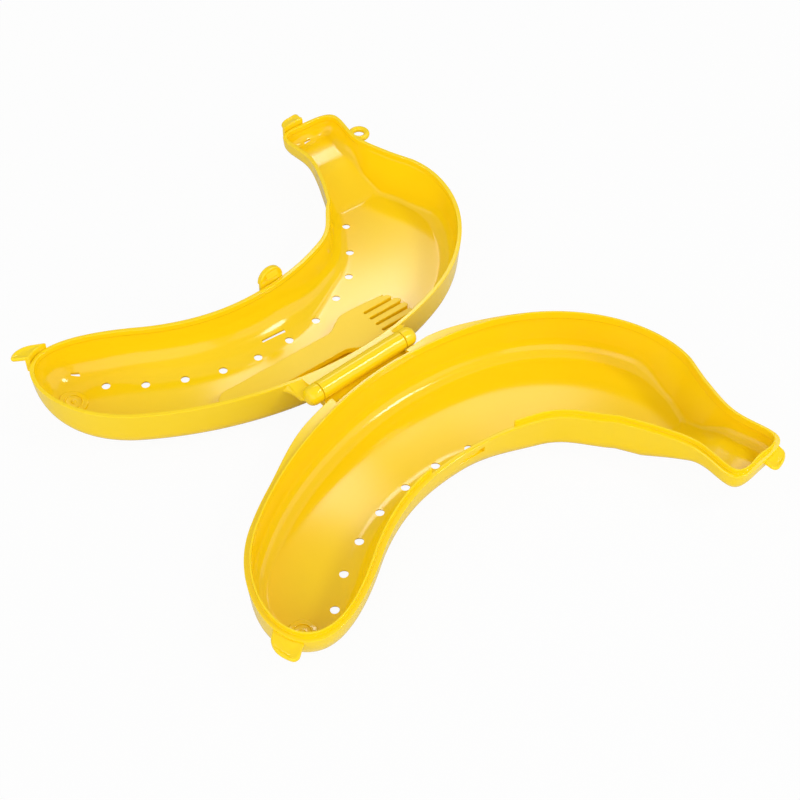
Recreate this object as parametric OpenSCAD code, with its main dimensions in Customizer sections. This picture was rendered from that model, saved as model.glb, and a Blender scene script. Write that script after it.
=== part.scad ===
// Hard carrying case for one curved fruit: a tray and a mirrored lid on a moulded hinge, lying open,
// with a flat fork stowed on two posts in the lid. The tray stands on z = 0 and its spine passes the origin.

/* [Bow of the case, seen from above] */
// Radius of the spine along the body
bow_r = 125; // [118:1:132]
// Turn of the spine from the origin back to the tip, in degrees
tip_turn = 34.5; // [31:0.5:38]
// Turn of the spine from the origin on to the shoulder, in degrees
flank_turn = 20.5; // [18:0.5:24]
// Radius of the spine round the shoulder
shoulder_r = 51.4; // [48:0.2:56]
// Turn of the spine round the shoulder, in degrees
shoulder_turn = 65.4; // [60:0.2:70]
// Straight length of the spine along the neck and stem
stem_run = 45.2; // [42:0.2:52]

/* [Widths over the rim] */
// Width at the centre of the tip's rounding
tip_w = 50.6; // [47:0.2:54]
// Width half way between the tip and the hinge
waist_w = 52.4; // [48:0.2:56]
// Width at the hinge
belly_w = 57; // [53:0.2:60]
// Width at the start of the shoulder
shoulder_w = 60.2; // [57:0.2:63]
// Width where the shoulder starts to close in
slope_w = 55.2; // [52:0.2:58]
// Width half way down to the neck
throat_w = 37.4; // [35:0.2:42]
// Width of the neck
neck_w = 27.8; // [26:0.2:31]
// Width of the stem's end
stem_w = 30.6; // [28:0.2:34]
// Length of the tip's rounding, from its centre to its end
tip_reach = 44.4; // [40:0.2:48]
// Lean of the tip's end towards the concave side
tip_lean = 6.2; // [4:0.2:8]
// Length of the stem's rounded end, from its centre to its end
stem_reach = 8.3; // [7.6:0.1:10]
// Power of the stem's outline: 2 is an ellipse, more is squarer
stem_power = 3.4; // [2.6:0.1:4]

/* [Shells] */
// Outer depth of one half along the body
body_depth = 21.5; // [19:0.5:25]
// Outer depth of one half at the centre of the tip's rounding
tip_depth = 20; // [18:0.5:21]
// Outer depth of one half along the stem
stem_depth = 10.3; // [9:0.1:12]
// Place along the spine where the floor starts to climb to the stem
ramp_foot = 113; // [108:0.5:116]
// Place along the spine where the floor reaches the stem's depth
ramp_crest = 133.5; // [130:0.5:138]
// Half length of the rounding at the ramp's foot
foot_blend = 5; // [3:0.5:8]
// Half length of the rounding at the ramp's crest
crest_blend = 3; // [2:0.5:5]
// Wall thickness
wall = 1.2; // [1:0.1:1.6]
// Lean of the walls, in degrees
draft = 5; // [3:0.5:6]
// Outer radius between wall and floor on the hinge side and round the shoulder
floor_r = 9; // [7.5:0.5:11]
// Outer radius between wall and floor on the concave side, from the tip to the middle latch
concave_r = 17; // [14:0.5:18]
// Outer radius between wall and floor at the tip's end
tip_r = 21; // [18:0.5:21.5]
// Outer radius between wall and floor on the hinge side where the shoulder closes in to the neck
throat_r = 4.5; // [4:0.5:7]
// Added lean of the hinge-side wall there, in degrees
throat_lean = 15; // [8:0.5:18]
// Outer radius between wall and floor along the stem
stem_r = 7; // [5:0.5:7.5]
// Gap between the two rims when shut, and between faces that pass each other
fit_gap = 0.3; // [0.25:0.05:0.5]

/* [Rim] */
// Width of the lid's rim and of the ledge on the tray's rim
rim_w = 1.9; // [1.7:0.1:2.2]
// Depth of the thickened wall under the rims
rim_d = 3; // [2.6:0.1:4]
// Depth of the thickened wall behind the tray's latch pocket
pocket_wall_d = 7; // [6.6:0.2:8]
// Height of the tray's inner lip
lip_h = 2; // [1:0.1:3]
// Thickness of the tray's inner lip
lip_t = 0.8; // [0.7:0.1:1]
// Length along the spine of the gap in the lip at the middle latch
lip_gap_len = 51; // [40:1:60]
// Place along the spine of the middle of that gap
lip_gap_at = 3; // [0:0.5:8]

/* [Vents] */
// Number of vents in each half
vent_count = 11; // [6:1:11]
// Radius of a vent
vent_r = 1.75; // [1.2:0.05:2.2]
// Distance between vents along their row
vent_pitch = 16.4; // [14:0.1:17]
// Distance of the first vent beyond the centre of the tip's rounding
vent_first = 17.8; // [16:0.2:20]
// Distance of the row from the concave rim at the tip
vent_inset_tip = 15.5; // [13:0.5:17]
// Distance of the row from the concave rim at the shoulder
vent_inset_shoulder = 10; // [9:0.5:14]

/* [Hinge] */
// Distance of the hinge axis outside the rim at the belly
hinge_stand = 5.8; // [5.4:0.1:7]
// Place of the middle of the hinge along its axis
hinge_x = -2.4; // [-4:0.1:2]
// Radius of the barrel and of the knuckles
barrel_r = 4.2; // [3.9:0.1:4.6]
// Length of the tray's barrel
barrel_len = 43; // [36:0.5:48]
// Length of each of the lid's knuckles
knuckle_len = 6.4; // [5.4:0.2:9]
// Radius of the trunnions
trunnion_r = 2.2; // [1.6:0.1:2.6]
// Length of a trunnion
trunnion_len = 3.5; // [2:0.1:5]
// Running clearance round a trunnion
trunnion_gap = 0.06; // [0.04:0.01:0.1]
// Thickness of the flange and webs that carry the hinge
web_t = 3.6; // [3:0.1:4.4]
// Length by which a knuckle's web widens towards the lid's wall
web_flare = 6; // [3:0.5:9]
// Width of the tray's flange beside the knuckles
flange_w = 3.2; // [2:0.2:4]
// Length along the spine over which the flange runs out beyond each knuckle
flange_run = 30; // [20:1:36]

/* [Latches and thumb tabs] */
// Thickness of a latch tongue and of a thumb tab
tab_t = 1.8; // [1.5:0.1:2.2]
// Width of the tray's tab at the tip
tip_tab_w = 12.5; // [10:0.5:14]
// Width of the lid's tab at the tip
tip_latch_w = 8; // [7:0.2:10]
// Reach of the tabs at the tip beyond the rim
tip_tab_reach = 7.4; // [6:0.2:9]
// Distance of the split between the tip's tabs from the spine's line
tip_split_at = 9.2; // [7:0.2:10]
// Width of the tray's and the lid's tab at the stem
stem_tab_w = 11; // [9:0.5:12]
// Reach of the tabs at the stem beyond the rim
stem_tab_reach = 5.4; // [4.5:0.1:7]
// Radius of the rounded outline of an end tab
tab_r = 10; // [9.5:0.5:12]
// Gap between the tray's and the lid's tab, side by side at one end
tab_split = 1.2; // [1:0.1:2]
// Height of the lid's end latches past its rim
latch_rise = 2.5; // [2.3:0.1:4]
// Width of the middle latch
thumb_w = 12; // [10:0.5:14]
// Place of the middle latch along the spine
thumb_at = 2; // [-2:0.5:4]
// Height of the middle latch past the lid's rim
thumb_rise = 7; // [6.8:0.1:9]
// Hold of the middle latch's barb behind the tray's pocket
barb_hold = 0.4; // [0.2:0.05:0.6]
// Length of the mould slot near the middle latch
slot_len = 11.5; // [9:0.5:13]
// Place of that slot along the spine
slot_at = -9; // [-12:0.5:-4]
// Distance of that slot from the concave rim
slot_inset = 10.2; // [9:0.2:12]
// Length of the two short mould slots
short_slot_len = 3.6; // [3:0.2:5]
// Width of the mould slots
slot_w = 1.1; // [0.8:0.1:1.4]

/* [Hanging ring] */
// Radius of the ring's eye
eye_r = 2.3; // [2:0.1:3]
// Thickness of the ring across its band
band_t = 2.8; // [2.4:0.1:3.4]

/* [Fork] */
// Length of the fork
fork_len = 97; // [90:0.5:98]
// Length of the head, from the neck to the tips of the tines
head_len = 39; // [36:0.5:41]
// Length of the swell from the handle to the head
swell_len = 13; // [10:0.5:16]
// Width of the handle
handle_w = 12; // [10:0.2:13]
// Width of the head
head_w = 24; // [22:0.5:25]
// Width across the tips of the tines
tips_w = 20; // [19:0.5:21]
// Thickness of the fork
fork_t = 2.6; // [2.2:0.1:3]
// Length of the slots between the tines
tine_len = 18; // [12:0.5:20]
// Width of the slots between the tines
tine_gap = 1.4; // [1:0.1:1.8]
// Number of tines
tine_count = 5; // [4:1:5]
// Place of the fork's middle along the hinge axis
fork_x = -2; // [-3:0.1:-1]
// Distance of the fork's middle from the spine's middle, towards the hinge
fork_y = 5.2; // [4.6:0.1:5.6]
// Turn of the fork towards the hinge, in degrees
fork_turn = 2.5; // [1:0.1:3]
// Height of the fork over the lid's floor
fork_rise = 2.6; // [2:0.1:3]

/* [Hidden] */
$fn = 64;
case_yellow = "#FBD01E";
deg = 180 / PI;
overlap = 0.5;

// Lengths along the spine, measured from the origin
tip_len = bow_r * tip_turn / deg;
flank_len = bow_r * flank_turn / deg;
shoulder_end = flank_len + shoulder_r * shoulder_turn / deg;
stem_end = shoulder_end + stem_run;

// Heights
rim_z = body_depth - fit_gap / 2;
hinge_z = body_depth;
lip_out = rim_w + fit_gap;
lip_in = lip_out + lip_t;
hinge_y = belly_w / 2 + hinge_stand;

// Widths along the spine: place, then half the width there
width_stations = [
    [-tip_len, tip_w / 2],
    [-0.45 * tip_len, waist_w / 2],
    [0.06 * stem_end, belly_w / 2],
    [0.47 * stem_end, shoulder_w / 2],
    [0.64 * stem_end, slope_w / 2],
    [0.785 * stem_end, throat_w / 2],
    [0.893 * stem_end, neck_w / 2],
    [stem_end, stem_w / 2],
];
// Fineness of the lofted shells
rib_step = 5;
ramp_step = 2;
tip_ribs = 17;
stem_ribs = 15;
fillet_steps = 5;
lip_cut = 0.4;

// The spine's heading in degrees: two arcs that turn right, then straight
function heading(s) =
    s <= flank_len ? -s / bow_r * deg
    : s <= shoulder_end ? -flank_turn - (s - flank_len) / shoulder_r * deg
    : -flank_turn - shoulder_turn;
function arc_shift(r, from, to) = r * [sin(from) - sin(to), cos(to) - cos(from)];
function spine(s) =
    s <= flank_len ? arc_shift(bow_r, 0, heading(s))
    : s <= shoulder_end ? spine(flank_len) + arc_shift(shoulder_r, heading(flank_len), heading(s))
    : spine(shoulder_end) + (s - shoulder_end) * along(s);
function along(s) = [cos(heading(s)), sin(heading(s))];
function across(s) = [-sin(heading(s)), cos(heading(s))];

// A smooth curve through the width stations, with each slope taken from the two neighbours
function slope_at(t, i) =
    let (a = max(i - 1, 0), b = min(i + 1, len(t) - 1)) (t[b][1] - t[a][1]) / (t[b][0] - t[a][0]);
function span_of(t, s, i = 0) = i >= len(t) - 2 || s <= t[i + 1][0] ? i : span_of(t, s, i + 1);
function smooth_through(t, s) =
    let (i = span_of(t, s), h = t[i + 1][0] - t[i][0], u = (s - t[i][0]) / h)
    (2 * u ^ 3 - 3 * u ^ 2 + 1) * t[i][1] + (u ^ 3 - 2 * u ^ 2 + u) * h * slope_at(t, i)
    + (3 * u ^ 2 - 2 * u ^ 3) * t[i + 1][1] + (u ^ 3 - u ^ 2) * h * slope_at(t, i + 1);
function half_width(s) = smooth_through(width_stations, s);
function smooth_step(u) = let (v = min(max(u, 0), 1)) v * v * (3 - 2 * v);
// Zero, then rising one for one, with a parabola between -blend and blend
function soft_rise(x, blend) = x <= -blend ? 0 : x >= blend ? x : (x + blend) ^ 2 / (4 * blend);
function ramp_share(s) =
    (soft_rise(s - ramp_foot, foot_blend) - soft_rise(s - ramp_crest, crest_blend)) / (ramp_crest - ramp_foot);
function depth_at(s) =
    s < 0 ? tip_depth + (body_depth - tip_depth) * smooth_step((s + tip_len) / (0.8 * tip_len))
    : body_depth - (body_depth - stem_depth) * ramp_share(s);

// Places of the ribs along the spine, with one on each side of both ends of the lip's gap
gap_from = lip_gap_at - lip_gap_len / 2;
gap_to = lip_gap_at + lip_gap_len / 2;
ramp_from = ramp_foot - foot_blend;
ramp_to = ramp_crest + crest_blend;
function even_places(from, to, step) =
    let (n = max(2, round((to - from) / step))) [for (i = [0 : n]) from + (to - from) * i / n];
places = concat(
    even_places(-tip_len, gap_from - lip_cut, rib_step),
    even_places(gap_from, gap_to, rib_step),
    even_places(gap_to + lip_cut, ramp_from - ramp_step, rib_step),
    even_places(ramp_from, ramp_to, ramp_step),
    even_places(ramp_to + ramp_step, stem_end, rib_step));
last = len(places) - 1;

// A rib is the plan line from the spine to the rim:
// [index on the spine, spine point, direction, reach, in the lip's gap, floor radius at full depth, lean of the wall]
throat_from = 0.58 * stem_end;
throat_to = 0.82 * stem_end;
throat_blend = 14;
stem_from = 0.86 * stem_end;
stem_full_r = stem_r * body_depth / stem_depth;
function throat_share(s) =
    smooth_step((s - throat_from) / throat_blend) * (1 - smooth_step((s - throat_to) / throat_blend));
function mix(a, b, u) = a + (b - a) * u;
function side_rib(i, side) =
    let (s = places[i],
         hollow = side < 0 ? 1 - smooth_step(s / flank_len) : 0,
         throat = side > 0 ? throat_share(s) : 0,
         body_r = mix(mix(floor_r, concave_r, hollow), throat_r, throat))
    [i, spine(s), side * across(s), half_width(s), side < 0 && s >= gap_from && s <= gap_to,
        mix(body_r, stem_full_r, smooth_step((s - stem_from) / throat_blend)), draft + throat_lean * throat];
function rib_to(i, v, r) = [i, spine(places[i]), v / norm(v), norm(v), false, r, draft];
function power_of(v, p) = sign(v) * abs(v) ^ (2 / p);
function stem_rib(angle) =
    rib_to(last, stem_reach * power_of(sin(angle), stem_power) * along(stem_end)
        + stem_w / 2 * power_of(cos(angle), stem_power) * across(stem_end), stem_full_r);
function tip_radius(angle) =
    let (hollow = smooth_step((1 + cos(angle)) / 1.3), end = sin(angle) ^ 2 * min(1, 1 + cos(angle)) ^ 2)
    mix(floor_r, concave_r, hollow) + (tip_r - concave_r) * end;
function tip_rib(angle) =
    rib_to(0, -tip_reach * sin(angle) * along(-tip_len)
        - (tip_w / 2 * cos(angle) + tip_lean * sin(angle) ^ 2) * across(-tip_len), tip_radius(angle));
ribs = concat(
    [for (i = [0 : last]) side_rib(i, 1)],
    [for (j = [1 : stem_ribs]) stem_rib(180 * j / (stem_ribs + 1))],
    [for (i = [last : -1 : 0]) side_rib(i, -1)],
    [for (j = [1 : tip_ribs]) tip_rib(180 * j / (tip_ribs + 1))]);
function plan_point(rib, inset) = rib[1] + rib[2] * (rib[3] - inset);
function rim_outline(inset) = [for (rib = ribs) plan_point(rib, inset)];

// Section of a wall along a rib, as [distance in from the rim, drop below the rim]; the foot's arc stays below clear
function floor_arc(rib, depth, off, clear) =
    let (lean = rib[6],
         r = rib[5] * depth / body_depth,
         centre = tan(lean) * (depth - r + r * sin(lean)) + r * cos(lean),
         first = max(lean, asin(max(0, (clear - depth + r) / (r - off)))))
    [for (k = [0 : fillet_steps]) let (a = first + (90 - first) * k / fillet_steps)
        [centre - (r - off) * cos(a), depth - r + (r - off) * sin(a)]];
function reversed(list) = [for (i = [len(list) - 1 : -1 : 0]) list[i]];
function inner_wall(rib, drop) = wall / cos(rib[6]) + tan(rib[6]) * drop;
function lid_rim(rib) = [[inner_wall(rib, rim_d), rim_d], [rim_w, rim_d - (rim_w - wall)], [rim_w, 0], [0, 0]];
// The tray's lip stands inside the lid's rim; in its gap the tray's rim is plain, and thick down to below the pocket
lip_corner = 0.1;
function tray_rim(rib) =
    rib[4] ? let (foot = pocket_wall_d - (rim_w - wall))
        [[inner_wall(rib, pocket_wall_d), pocket_wall_d], [rim_w + tan(draft) * foot, foot],
            [rim_w, 0], [rim_w - lip_corner, 0], [rim_w - 2 * lip_corner, 0], [0, 0]]
    : [[inner_wall(rib, rim_d), rim_d], [lip_in, rim_d - (lip_in - inner_wall(rib, rim_d))],
        [lip_in, -lip_h], [lip_out, -lip_h], [lip_out, 0], [0, 0]];
arc_clear = 0.2;
function section(rib, is_tray) =
    let (depth = depth_at(places[rib[0]]) - fit_gap / 2,
         clear = arc_clear + (is_tray && rib[4] ? pocket_wall_d : rim_d))
    concat(floor_arc(rib, depth, 0, 0), reversed(floor_arc(rib, depth, wall, clear)),
        is_tray ? tray_rim(rib) : lid_rim(rib));

// One half shell: every rib carries the section, and the floor closes along the spine
module shell(is_tray) {
    arc = fillet_steps + 1;
    slots = len(section(ribs[0], is_tray));
    spine_outer = len(ribs) * slots;
    spine_inner = spine_outer + last + 1;
    function at_height(p, drop) = [p[0], p[1], rim_z - drop];
    points = concat(
        [for (rib = ribs) for (q = section(rib, is_tray)) at_height(plan_point(rib, q[0]), q[1])],
        [for (s = places) at_height(spine(s), depth_at(s) - fit_gap / 2)],
        [for (s = places) at_height(spine(s), depth_at(s) - fit_gap / 2 - wall)]);
    function slot(k, j) = k * slots + j;
    function edge(k, j) =
        j == 0 ? [slot(k, arc - 1), spine_outer + ribs[k][0]]
        : j == 1 ? [spine_inner + ribs[k][0], slot(k, arc)]
        : [slot(k, j - 2), slot(k, (j - 1) % slots)];
    joins = concat([0, 1], [for (j = [2 : slots + 1]) if (j - 2 != arc - 1) j]);
    triangles = [for (k = [0 : len(ribs) - 1]) let (m = (k + 1) % len(ribs)) for (j = joins)
        let (a = edge(k, j), b = edge(m, j)) each [[a[0], a[1], b[1]], [a[0], b[1], b[0]]]];
    polyhedron(points, [for (t = triangles) if (t[0] != t[1] && t[1] != t[2] && t[2] != t[0]) t]);
}

// Vents: each step along the row is longer on the spine, because the row lies inside the bend
function spine_radius(s) = s <= flank_len ? bow_r : shoulder_r;
function vent_side(s) =
    half_width(max(s, -tip_len))
    - (vent_inset_tip + (vent_inset_shoulder - vent_inset_tip) * smooth_step(s / (0.6 * stem_end)));
function vent_place(k) =
    k == 0 ? -tip_len - vent_first
    : let (s = vent_place(k - 1), r = spine_radius(s)) s + vent_pitch * r / (r - vent_side(s));
module vents() {
    for (k = [0 : vent_count - 1]) {
        s = vent_place(k);
        translate(concat(spine(s) - vent_side(s) * across(s), -1)) cylinder(r = vent_r, h = stem_depth);
    }
}

// The gate: a shallow well outside the floor near the tip, and the raised disc that it makes inside
gate_r = 5.5;
gate_d = 0.9;
gate_in = 15.8;
gate_side = 7.8;
module at_gate() {
    at_tip() translate([-gate_in, gate_side, body_depth - tip_depth]) children();
}

// Local frames at the two ends: x runs out from the rim's end, y across towards the hinge side
module at_tip() {
    translate(spine(-tip_len)) rotate(heading(-tip_len)) mirror([1, 0, 0])
        translate([tip_reach, -tip_split_at]) children();
}
module at_stem() {
    translate(spine(stem_end)) rotate(heading(stem_end)) translate([stem_reach, 0]) children();
}

// Plan of an end tab: a disc cut straight beside the middle line; side is 1 towards the hinge and -1 away
module tab_band(side, w, reach) {
    translate([-3 * reach, side > 0 ? tab_split / 2 : -tab_split / 2 - w]) square([5 * reach, w]);
}
module tab_plan(side, w, reach) {
    intersection() {
        translate([reach - tab_r, side * (tab_split / 2 + w / 4)]) circle(tab_r);
        tab_band(side, w, reach);
    }
}
module both_tabs(side) {
    at_tip() tab_plan(side, side > 0 ? tip_tab_w : tip_latch_w, tip_tab_reach);
    at_stem() tab_plan(side, stem_tab_w, stem_tab_reach);
}
// A shallow dish for the thumb in the top of each tab
dish_r = 14;
dish_d = 0.5;
module both_dishes(side) {
    at_tip() translate([tip_tab_reach / 2, side * tip_latch_w / 2, dish_r - dish_d]) sphere(dish_r);
    at_stem() translate([stem_tab_reach / 2, side * stem_tab_w / 2, dish_r - dish_d]) sphere(dish_r);
}

// The tray's thumb tabs stand out of its end walls just under the ledge
tab_drop = 0.9;
module tray_tabs() {
    translate([0, 0, rim_z - tab_drop - tab_t]) difference() {
        linear_extrude(tab_t) difference() {
            both_tabs(1);
            polygon(rim_outline(wall / 2));
        }
        translate([0, 0, tab_t]) both_dishes(1);
    }
}

// The lid's end latches: a tongue that passes outside the tray's end wall, with a flared thumb lip
latch_root = 5;
module band_strip(inner, outer) {
    intersection() {
        difference() {
            polygon(rim_outline(-outer));
            polygon(rim_outline(-inner));
        }
        union() {
            at_tip() tab_band(-1, tip_latch_w, tip_tab_reach);
            at_stem() tab_band(-1, stem_tab_w, stem_tab_reach);
        }
    }
}
module lid_end_latches() {
    translate([0, 0, rim_z - latch_root]) linear_extrude(latch_root - lip_h / 2)
        band_strip(-wall / 2, fit_gap + tab_t);
    translate([0, 0, rim_z - latch_root]) linear_extrude(latch_root + latch_rise)
        band_strip(fit_gap, fit_gap + tab_t);
    translate([0, 0, rim_z + latch_rise - tab_t]) difference() {
        linear_extrude(tab_t) difference() {
            both_tabs(-1);
            polygon(rim_outline(-fit_gap));
        }
        translate([0, 0, tab_t]) both_dishes(-1);
    }
}

// The middle latch on the concave side: a round-topped tongue with a beaded edge and a barb
thumb_face = half_width(thumb_at) + fit_gap + thumb_w ^ 2 / (8 * (bow_r - half_width(thumb_at)));
thumb_root = 6;
bead_r = 1.2;
barb_from = 3;
barb_h = 2.4;
pocket_d = tan(draft) * (barb_from + barb_h) + barb_hold + fit_gap;
module at_thumb() {
    translate(spine(thumb_at)) rotate(heading(thumb_at)) children();
}
module middle_latch() {
    crown_z = rim_z + thumb_rise - thumb_w / 2;
    translate([-thumb_w / 2, -thumb_face - tab_t, rim_z - thumb_root])
        cube([thumb_w, tab_t, crown_z - rim_z + thumb_root]);
    translate([-thumb_w / 2, -thumb_face - tab_t, rim_z - thumb_root])
        cube([thumb_w, thumb_face + tab_t - half_width(thumb_at) + wall / 2, thumb_root - lip_h / 2]);
    translate([0, -thumb_face, crown_z]) rotate([90, 0, 0]) cylinder(d = thumb_w, h = tab_t);
    translate([0, -thumb_face - tab_t, crown_z]) rotate([90, 0, 0]) rotate_extrude(angle = 180)
        translate([thumb_w / 2 - bead_r, 0]) circle(bead_r, $fn = 32);
    barb_reach = thumb_face - half_width(thumb_at) + pocket_d - fit_gap;
    translate([0, -thumb_face - overlap, rim_z + barb_from]) rotate([90, 0, 90])
        linear_extrude(thumb_w / 2, center = true)
            polygon([[0, 0], [overlap + barb_reach, 0], [overlap, barb_h], [0, barb_h]]);
}
module latch_pocket() {
    translate([-thumb_w / 2, -half_width(thumb_at) - barb_h, rim_z - barb_from - barb_h])
        cube([thumb_w, barb_h + pocket_d, barb_h + fit_gap]);
}

// The mould slots at the foot of the lid's wall, one near each latch
tip_slot_in = 15.7;
tip_slot_side = 6.4;
tip_slot_turn = 8;
stem_slot_in = 3.8;
stem_slot_side = 1.3;
module lid_slots() {
    translate(concat(spine(slot_at) - (half_width(slot_at) - slot_inset) * across(slot_at), 0))
        rotate(heading(slot_at)) cube([slot_len, slot_w, stem_depth], center = true);
    at_tip() translate([-tip_slot_in, -tip_slot_side]) rotate(tip_slot_turn)
        cube([short_slot_len, slot_w, body_depth], center = true);
    at_stem() translate([-stem_slot_in, -stem_slot_side, body_depth - stem_depth])
        cube([slot_w, short_slot_len, stem_depth], center = true);
}

// Hinge: everything along the axis is drawn from the hinge's middle
module at_hinge() {
    translate([hinge_x, hinge_y, hinge_z]) rotate([0, 90, 0]) children();
}
knuckle_from = barrel_len / 2 + fit_gap;
knuckle_to = knuckle_from + knuckle_len;
flange_y = hinge_y - barrel_r - 2 * fit_gap;
function flange_point(s) =
    let (taper = 1 - smooth_step((abs(s - hinge_x) - knuckle_to) / flange_run),
         p = spine(s) + (half_width(s) + flange_w * taper) * across(s))
    [p[0], min(p[1], flange_y)];
module tray_hinge() {
    at_hinge() {
        cylinder(r = barrel_r, h = barrel_len, center = true);
        cylinder(r = trunnion_r, h = barrel_len + 2 * trunnion_len, center = true);
    }
    // A flange runs out along the rim past both knuckles, and widens to the barrel between them
    flange_half = knuckle_to + flange_run;
    translate([0, 0, rim_z - web_t]) linear_extrude(web_t) difference() {
        union() {
            translate([hinge_x - barrel_len / 2, 0]) square([barrel_len, hinge_y]);
            polygon([for (s = even_places(hinge_x - flange_half, hinge_x + flange_half, rib_step)) flange_point(s)]);
        }
        polygon(rim_outline(wall / 2));
    }
}
module knuckle_round() {
    end_round = barrel_r / 2;
    rotate_extrude() {
        square([barrel_r, knuckle_len - end_round]);
        square([barrel_r - end_round, knuckle_len]);
        translate([barrel_r - end_round, knuckle_len - end_round]) intersection() {
            circle(end_round);
            square(end_round);
        }
    }
}
module lid_hinge() {
    bore_d = trunnion_len + fit_gap;
    difference() {
        union() {
            for (side = [-1, 1]) at_hinge() rotate([0, side < 0 ? 180 : 0, 0])
                translate([0, 0, knuckle_from]) knuckle_round();
            // A web under each knuckle, and between them a flange that fills the rim out to the barrel
            translate([0, 0, rim_z - web_t]) linear_extrude(web_t) difference() {
                translate([hinge_x, 0]) {
                    for (side = [-1, 1]) polygon([
                        [side * knuckle_from, 0],
                        [side * knuckle_from, hinge_y],
                        [side * (knuckle_to - barrel_r / 2), hinge_y],
                        [side * knuckle_to, hinge_y - barrel_r],
                        [side * (knuckle_to + web_flare), 0],
                    ]);
                    translate([-knuckle_from - overlap, 0]) square([2 * (knuckle_from + overlap), flange_y]);
                }
                polygon(rim_outline(wall / 2));
            }
        }
        for (side = [-1, 1]) at_hinge() rotate([0, side < 0 ? 180 : 0, 0])
            translate([0, 0, knuckle_from - overlap]) cylinder(r = trunnion_r + trunnion_gap, h = bore_d + overlap);
    }
}

// The ring for hanging lies level, just under the lid's rim, against the hinge side of the neck
ring_s = 0.917 * stem_end;
ring_seat = half_width(ring_s) + fit_gap;
ring_neck = 0.6;
module at_ring() {
    translate(concat(spine(ring_s), rim_z - lip_h)) rotate(heading(ring_s))
        translate([0, ring_seat + ring_neck + eye_r]) children();
}

// Posts on the lid's floor that carry the fork, and the fork's own frame along its middle line
post_r = 3;
post_inset = 15;
peg_r = 1.9;
peg_h = 1.3;
peg_gap = 0.08;
seat_gap = 0.05;
fork_end_x = -fork_len / 2;
neck_x = fork_len / 2 - head_len;
head_x = neck_x + swell_len;
post_places = [fork_end_x + post_inset, neck_x - post_inset];
module at_fork(z) {
    translate([fork_x, fork_y, z]) rotate(fork_turn) children();
}
module fork_posts() {
    at_fork(wall - overlap) for (x = post_places) translate([x, 0]) {
        cylinder(r = post_r, h = overlap + fork_rise);
        cylinder(r = peg_r, h = overlap + fork_rise + peg_h);
    }
}

module mirrored_to_lid() {
    translate([0, 2 * hinge_y, 0]) mirror([0, 1, 0]) children();
}

module tray() {
    color(case_yellow) difference() {
        union() {
            shell(true);
            tray_tabs();
            tray_hinge();
            at_gate() translate([0, 0, wall - overlap]) cylinder(r = gate_r, h = gate_d + overlap);
        }
        vents();
        at_thumb() latch_pocket();
        at_gate() translate([0, 0, -1]) cylinder(r = gate_r - wall, h = 1 + gate_d);
    }
}

module lid() {
    color(case_yellow) mirrored_to_lid() difference() {
        union() {
            shell(false);
            lid_end_latches();
            at_thumb() middle_latch();
            lid_hinge();
            fork_posts();
            at_gate() translate([0, 0, wall - overlap]) cylinder(r = gate_r, h = gate_d + overlap);
        }
        vents();
        lid_slots();
        at_gate() translate([0, 0, -1]) cylinder(r = gate_r - wall, h = 1 + gate_d);
    }
}

// A round band, cut straight inside its eye and flat where it stands on the neck
eye_land = 0.2;
module hanging_ring() {
    ring_r = eye_r + band_t;
    color(case_yellow) mirrored_to_lid() at_ring() difference() {
        rotate_extrude() difference() {
            translate([eye_r + band_t / 2, 0]) circle(band_t / 2 + eye_land);
            translate([0, -band_t]) square([eye_r, 2 * band_t]);
        }
        translate([-2 * ring_r, -eye_r - ring_neck - 4 * ring_r, -2 * ring_r]) cube(4 * ring_r);
    }
}

// Half the fork's width along it: the handle, a smooth swell to the head, and a slow taper to the tips
function fork_half(x) =
    x <= head_x ? handle_w / 2 + (head_w - handle_w) / 2 * smooth_step((x - neck_x) / (head_x - neck_x))
    : head_w / 2 - (head_w - tips_w) / 2 * ((x - head_x) / (fork_len / 2 - head_x)) ^ 2;
module fork_plan() {
    crown = 5;
    steps = 24;
    end_r = handle_w / 2;
    back = [for (i = [0 : steps]) let (a = 90 * i / steps) [fork_end_x + end_r - end_r * cos(a), end_r * sin(a)]];
    side = [for (i = [0 : steps]) let (x = neck_x + (fork_len / 2 - crown - neck_x) * i / steps) [x, fork_half(x)]];
    front = [for (i = [1 : steps - 1]) let (v = 1 - 2 * i / steps)
        [fork_len / 2 - crown * v * v, v * fork_half(fork_len / 2 - crown)]];
    half = concat(back, side);
    polygon(concat(half, front, [for (i = [len(half) - 1 : -1 : 1]) [half[i][0], -half[i][1]]]));
}
module fork() {
    pitch = tips_w / tine_count + tine_gap / tine_count;
    root_x = fork_len / 2 - tine_len;
    color(case_yellow) mirrored_to_lid() at_fork(wall + fork_rise + seat_gap) difference() {
        linear_extrude(fork_t) difference() {
            fork_plan();
            for (i = [1 : tine_count - 1]) translate([root_x, (i - tine_count / 2) * pitch]) {
                circle(d = tine_gap);
                translate([0, -tine_gap / 2]) square([fork_len, tine_gap]);
            }
        }
        for (x = post_places) translate([x, 0, -overlap])
            cylinder(r = peg_r + peg_gap, h = overlap + peg_h + fit_gap);
    }
}

tray();
lid();
hanging_ring();
fork();
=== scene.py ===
"""Looks of a hard carrying case that lies open: two smooth half shells, hinge, latches, hanging ring and fork.

Settings are stated in millimetres and degrees and kept in metres and radians. The tray stands on z = 0, x runs
along the hinge from the tip to the stem, and the lid is the tray's mirror image across the hinge."""

import math

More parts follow.
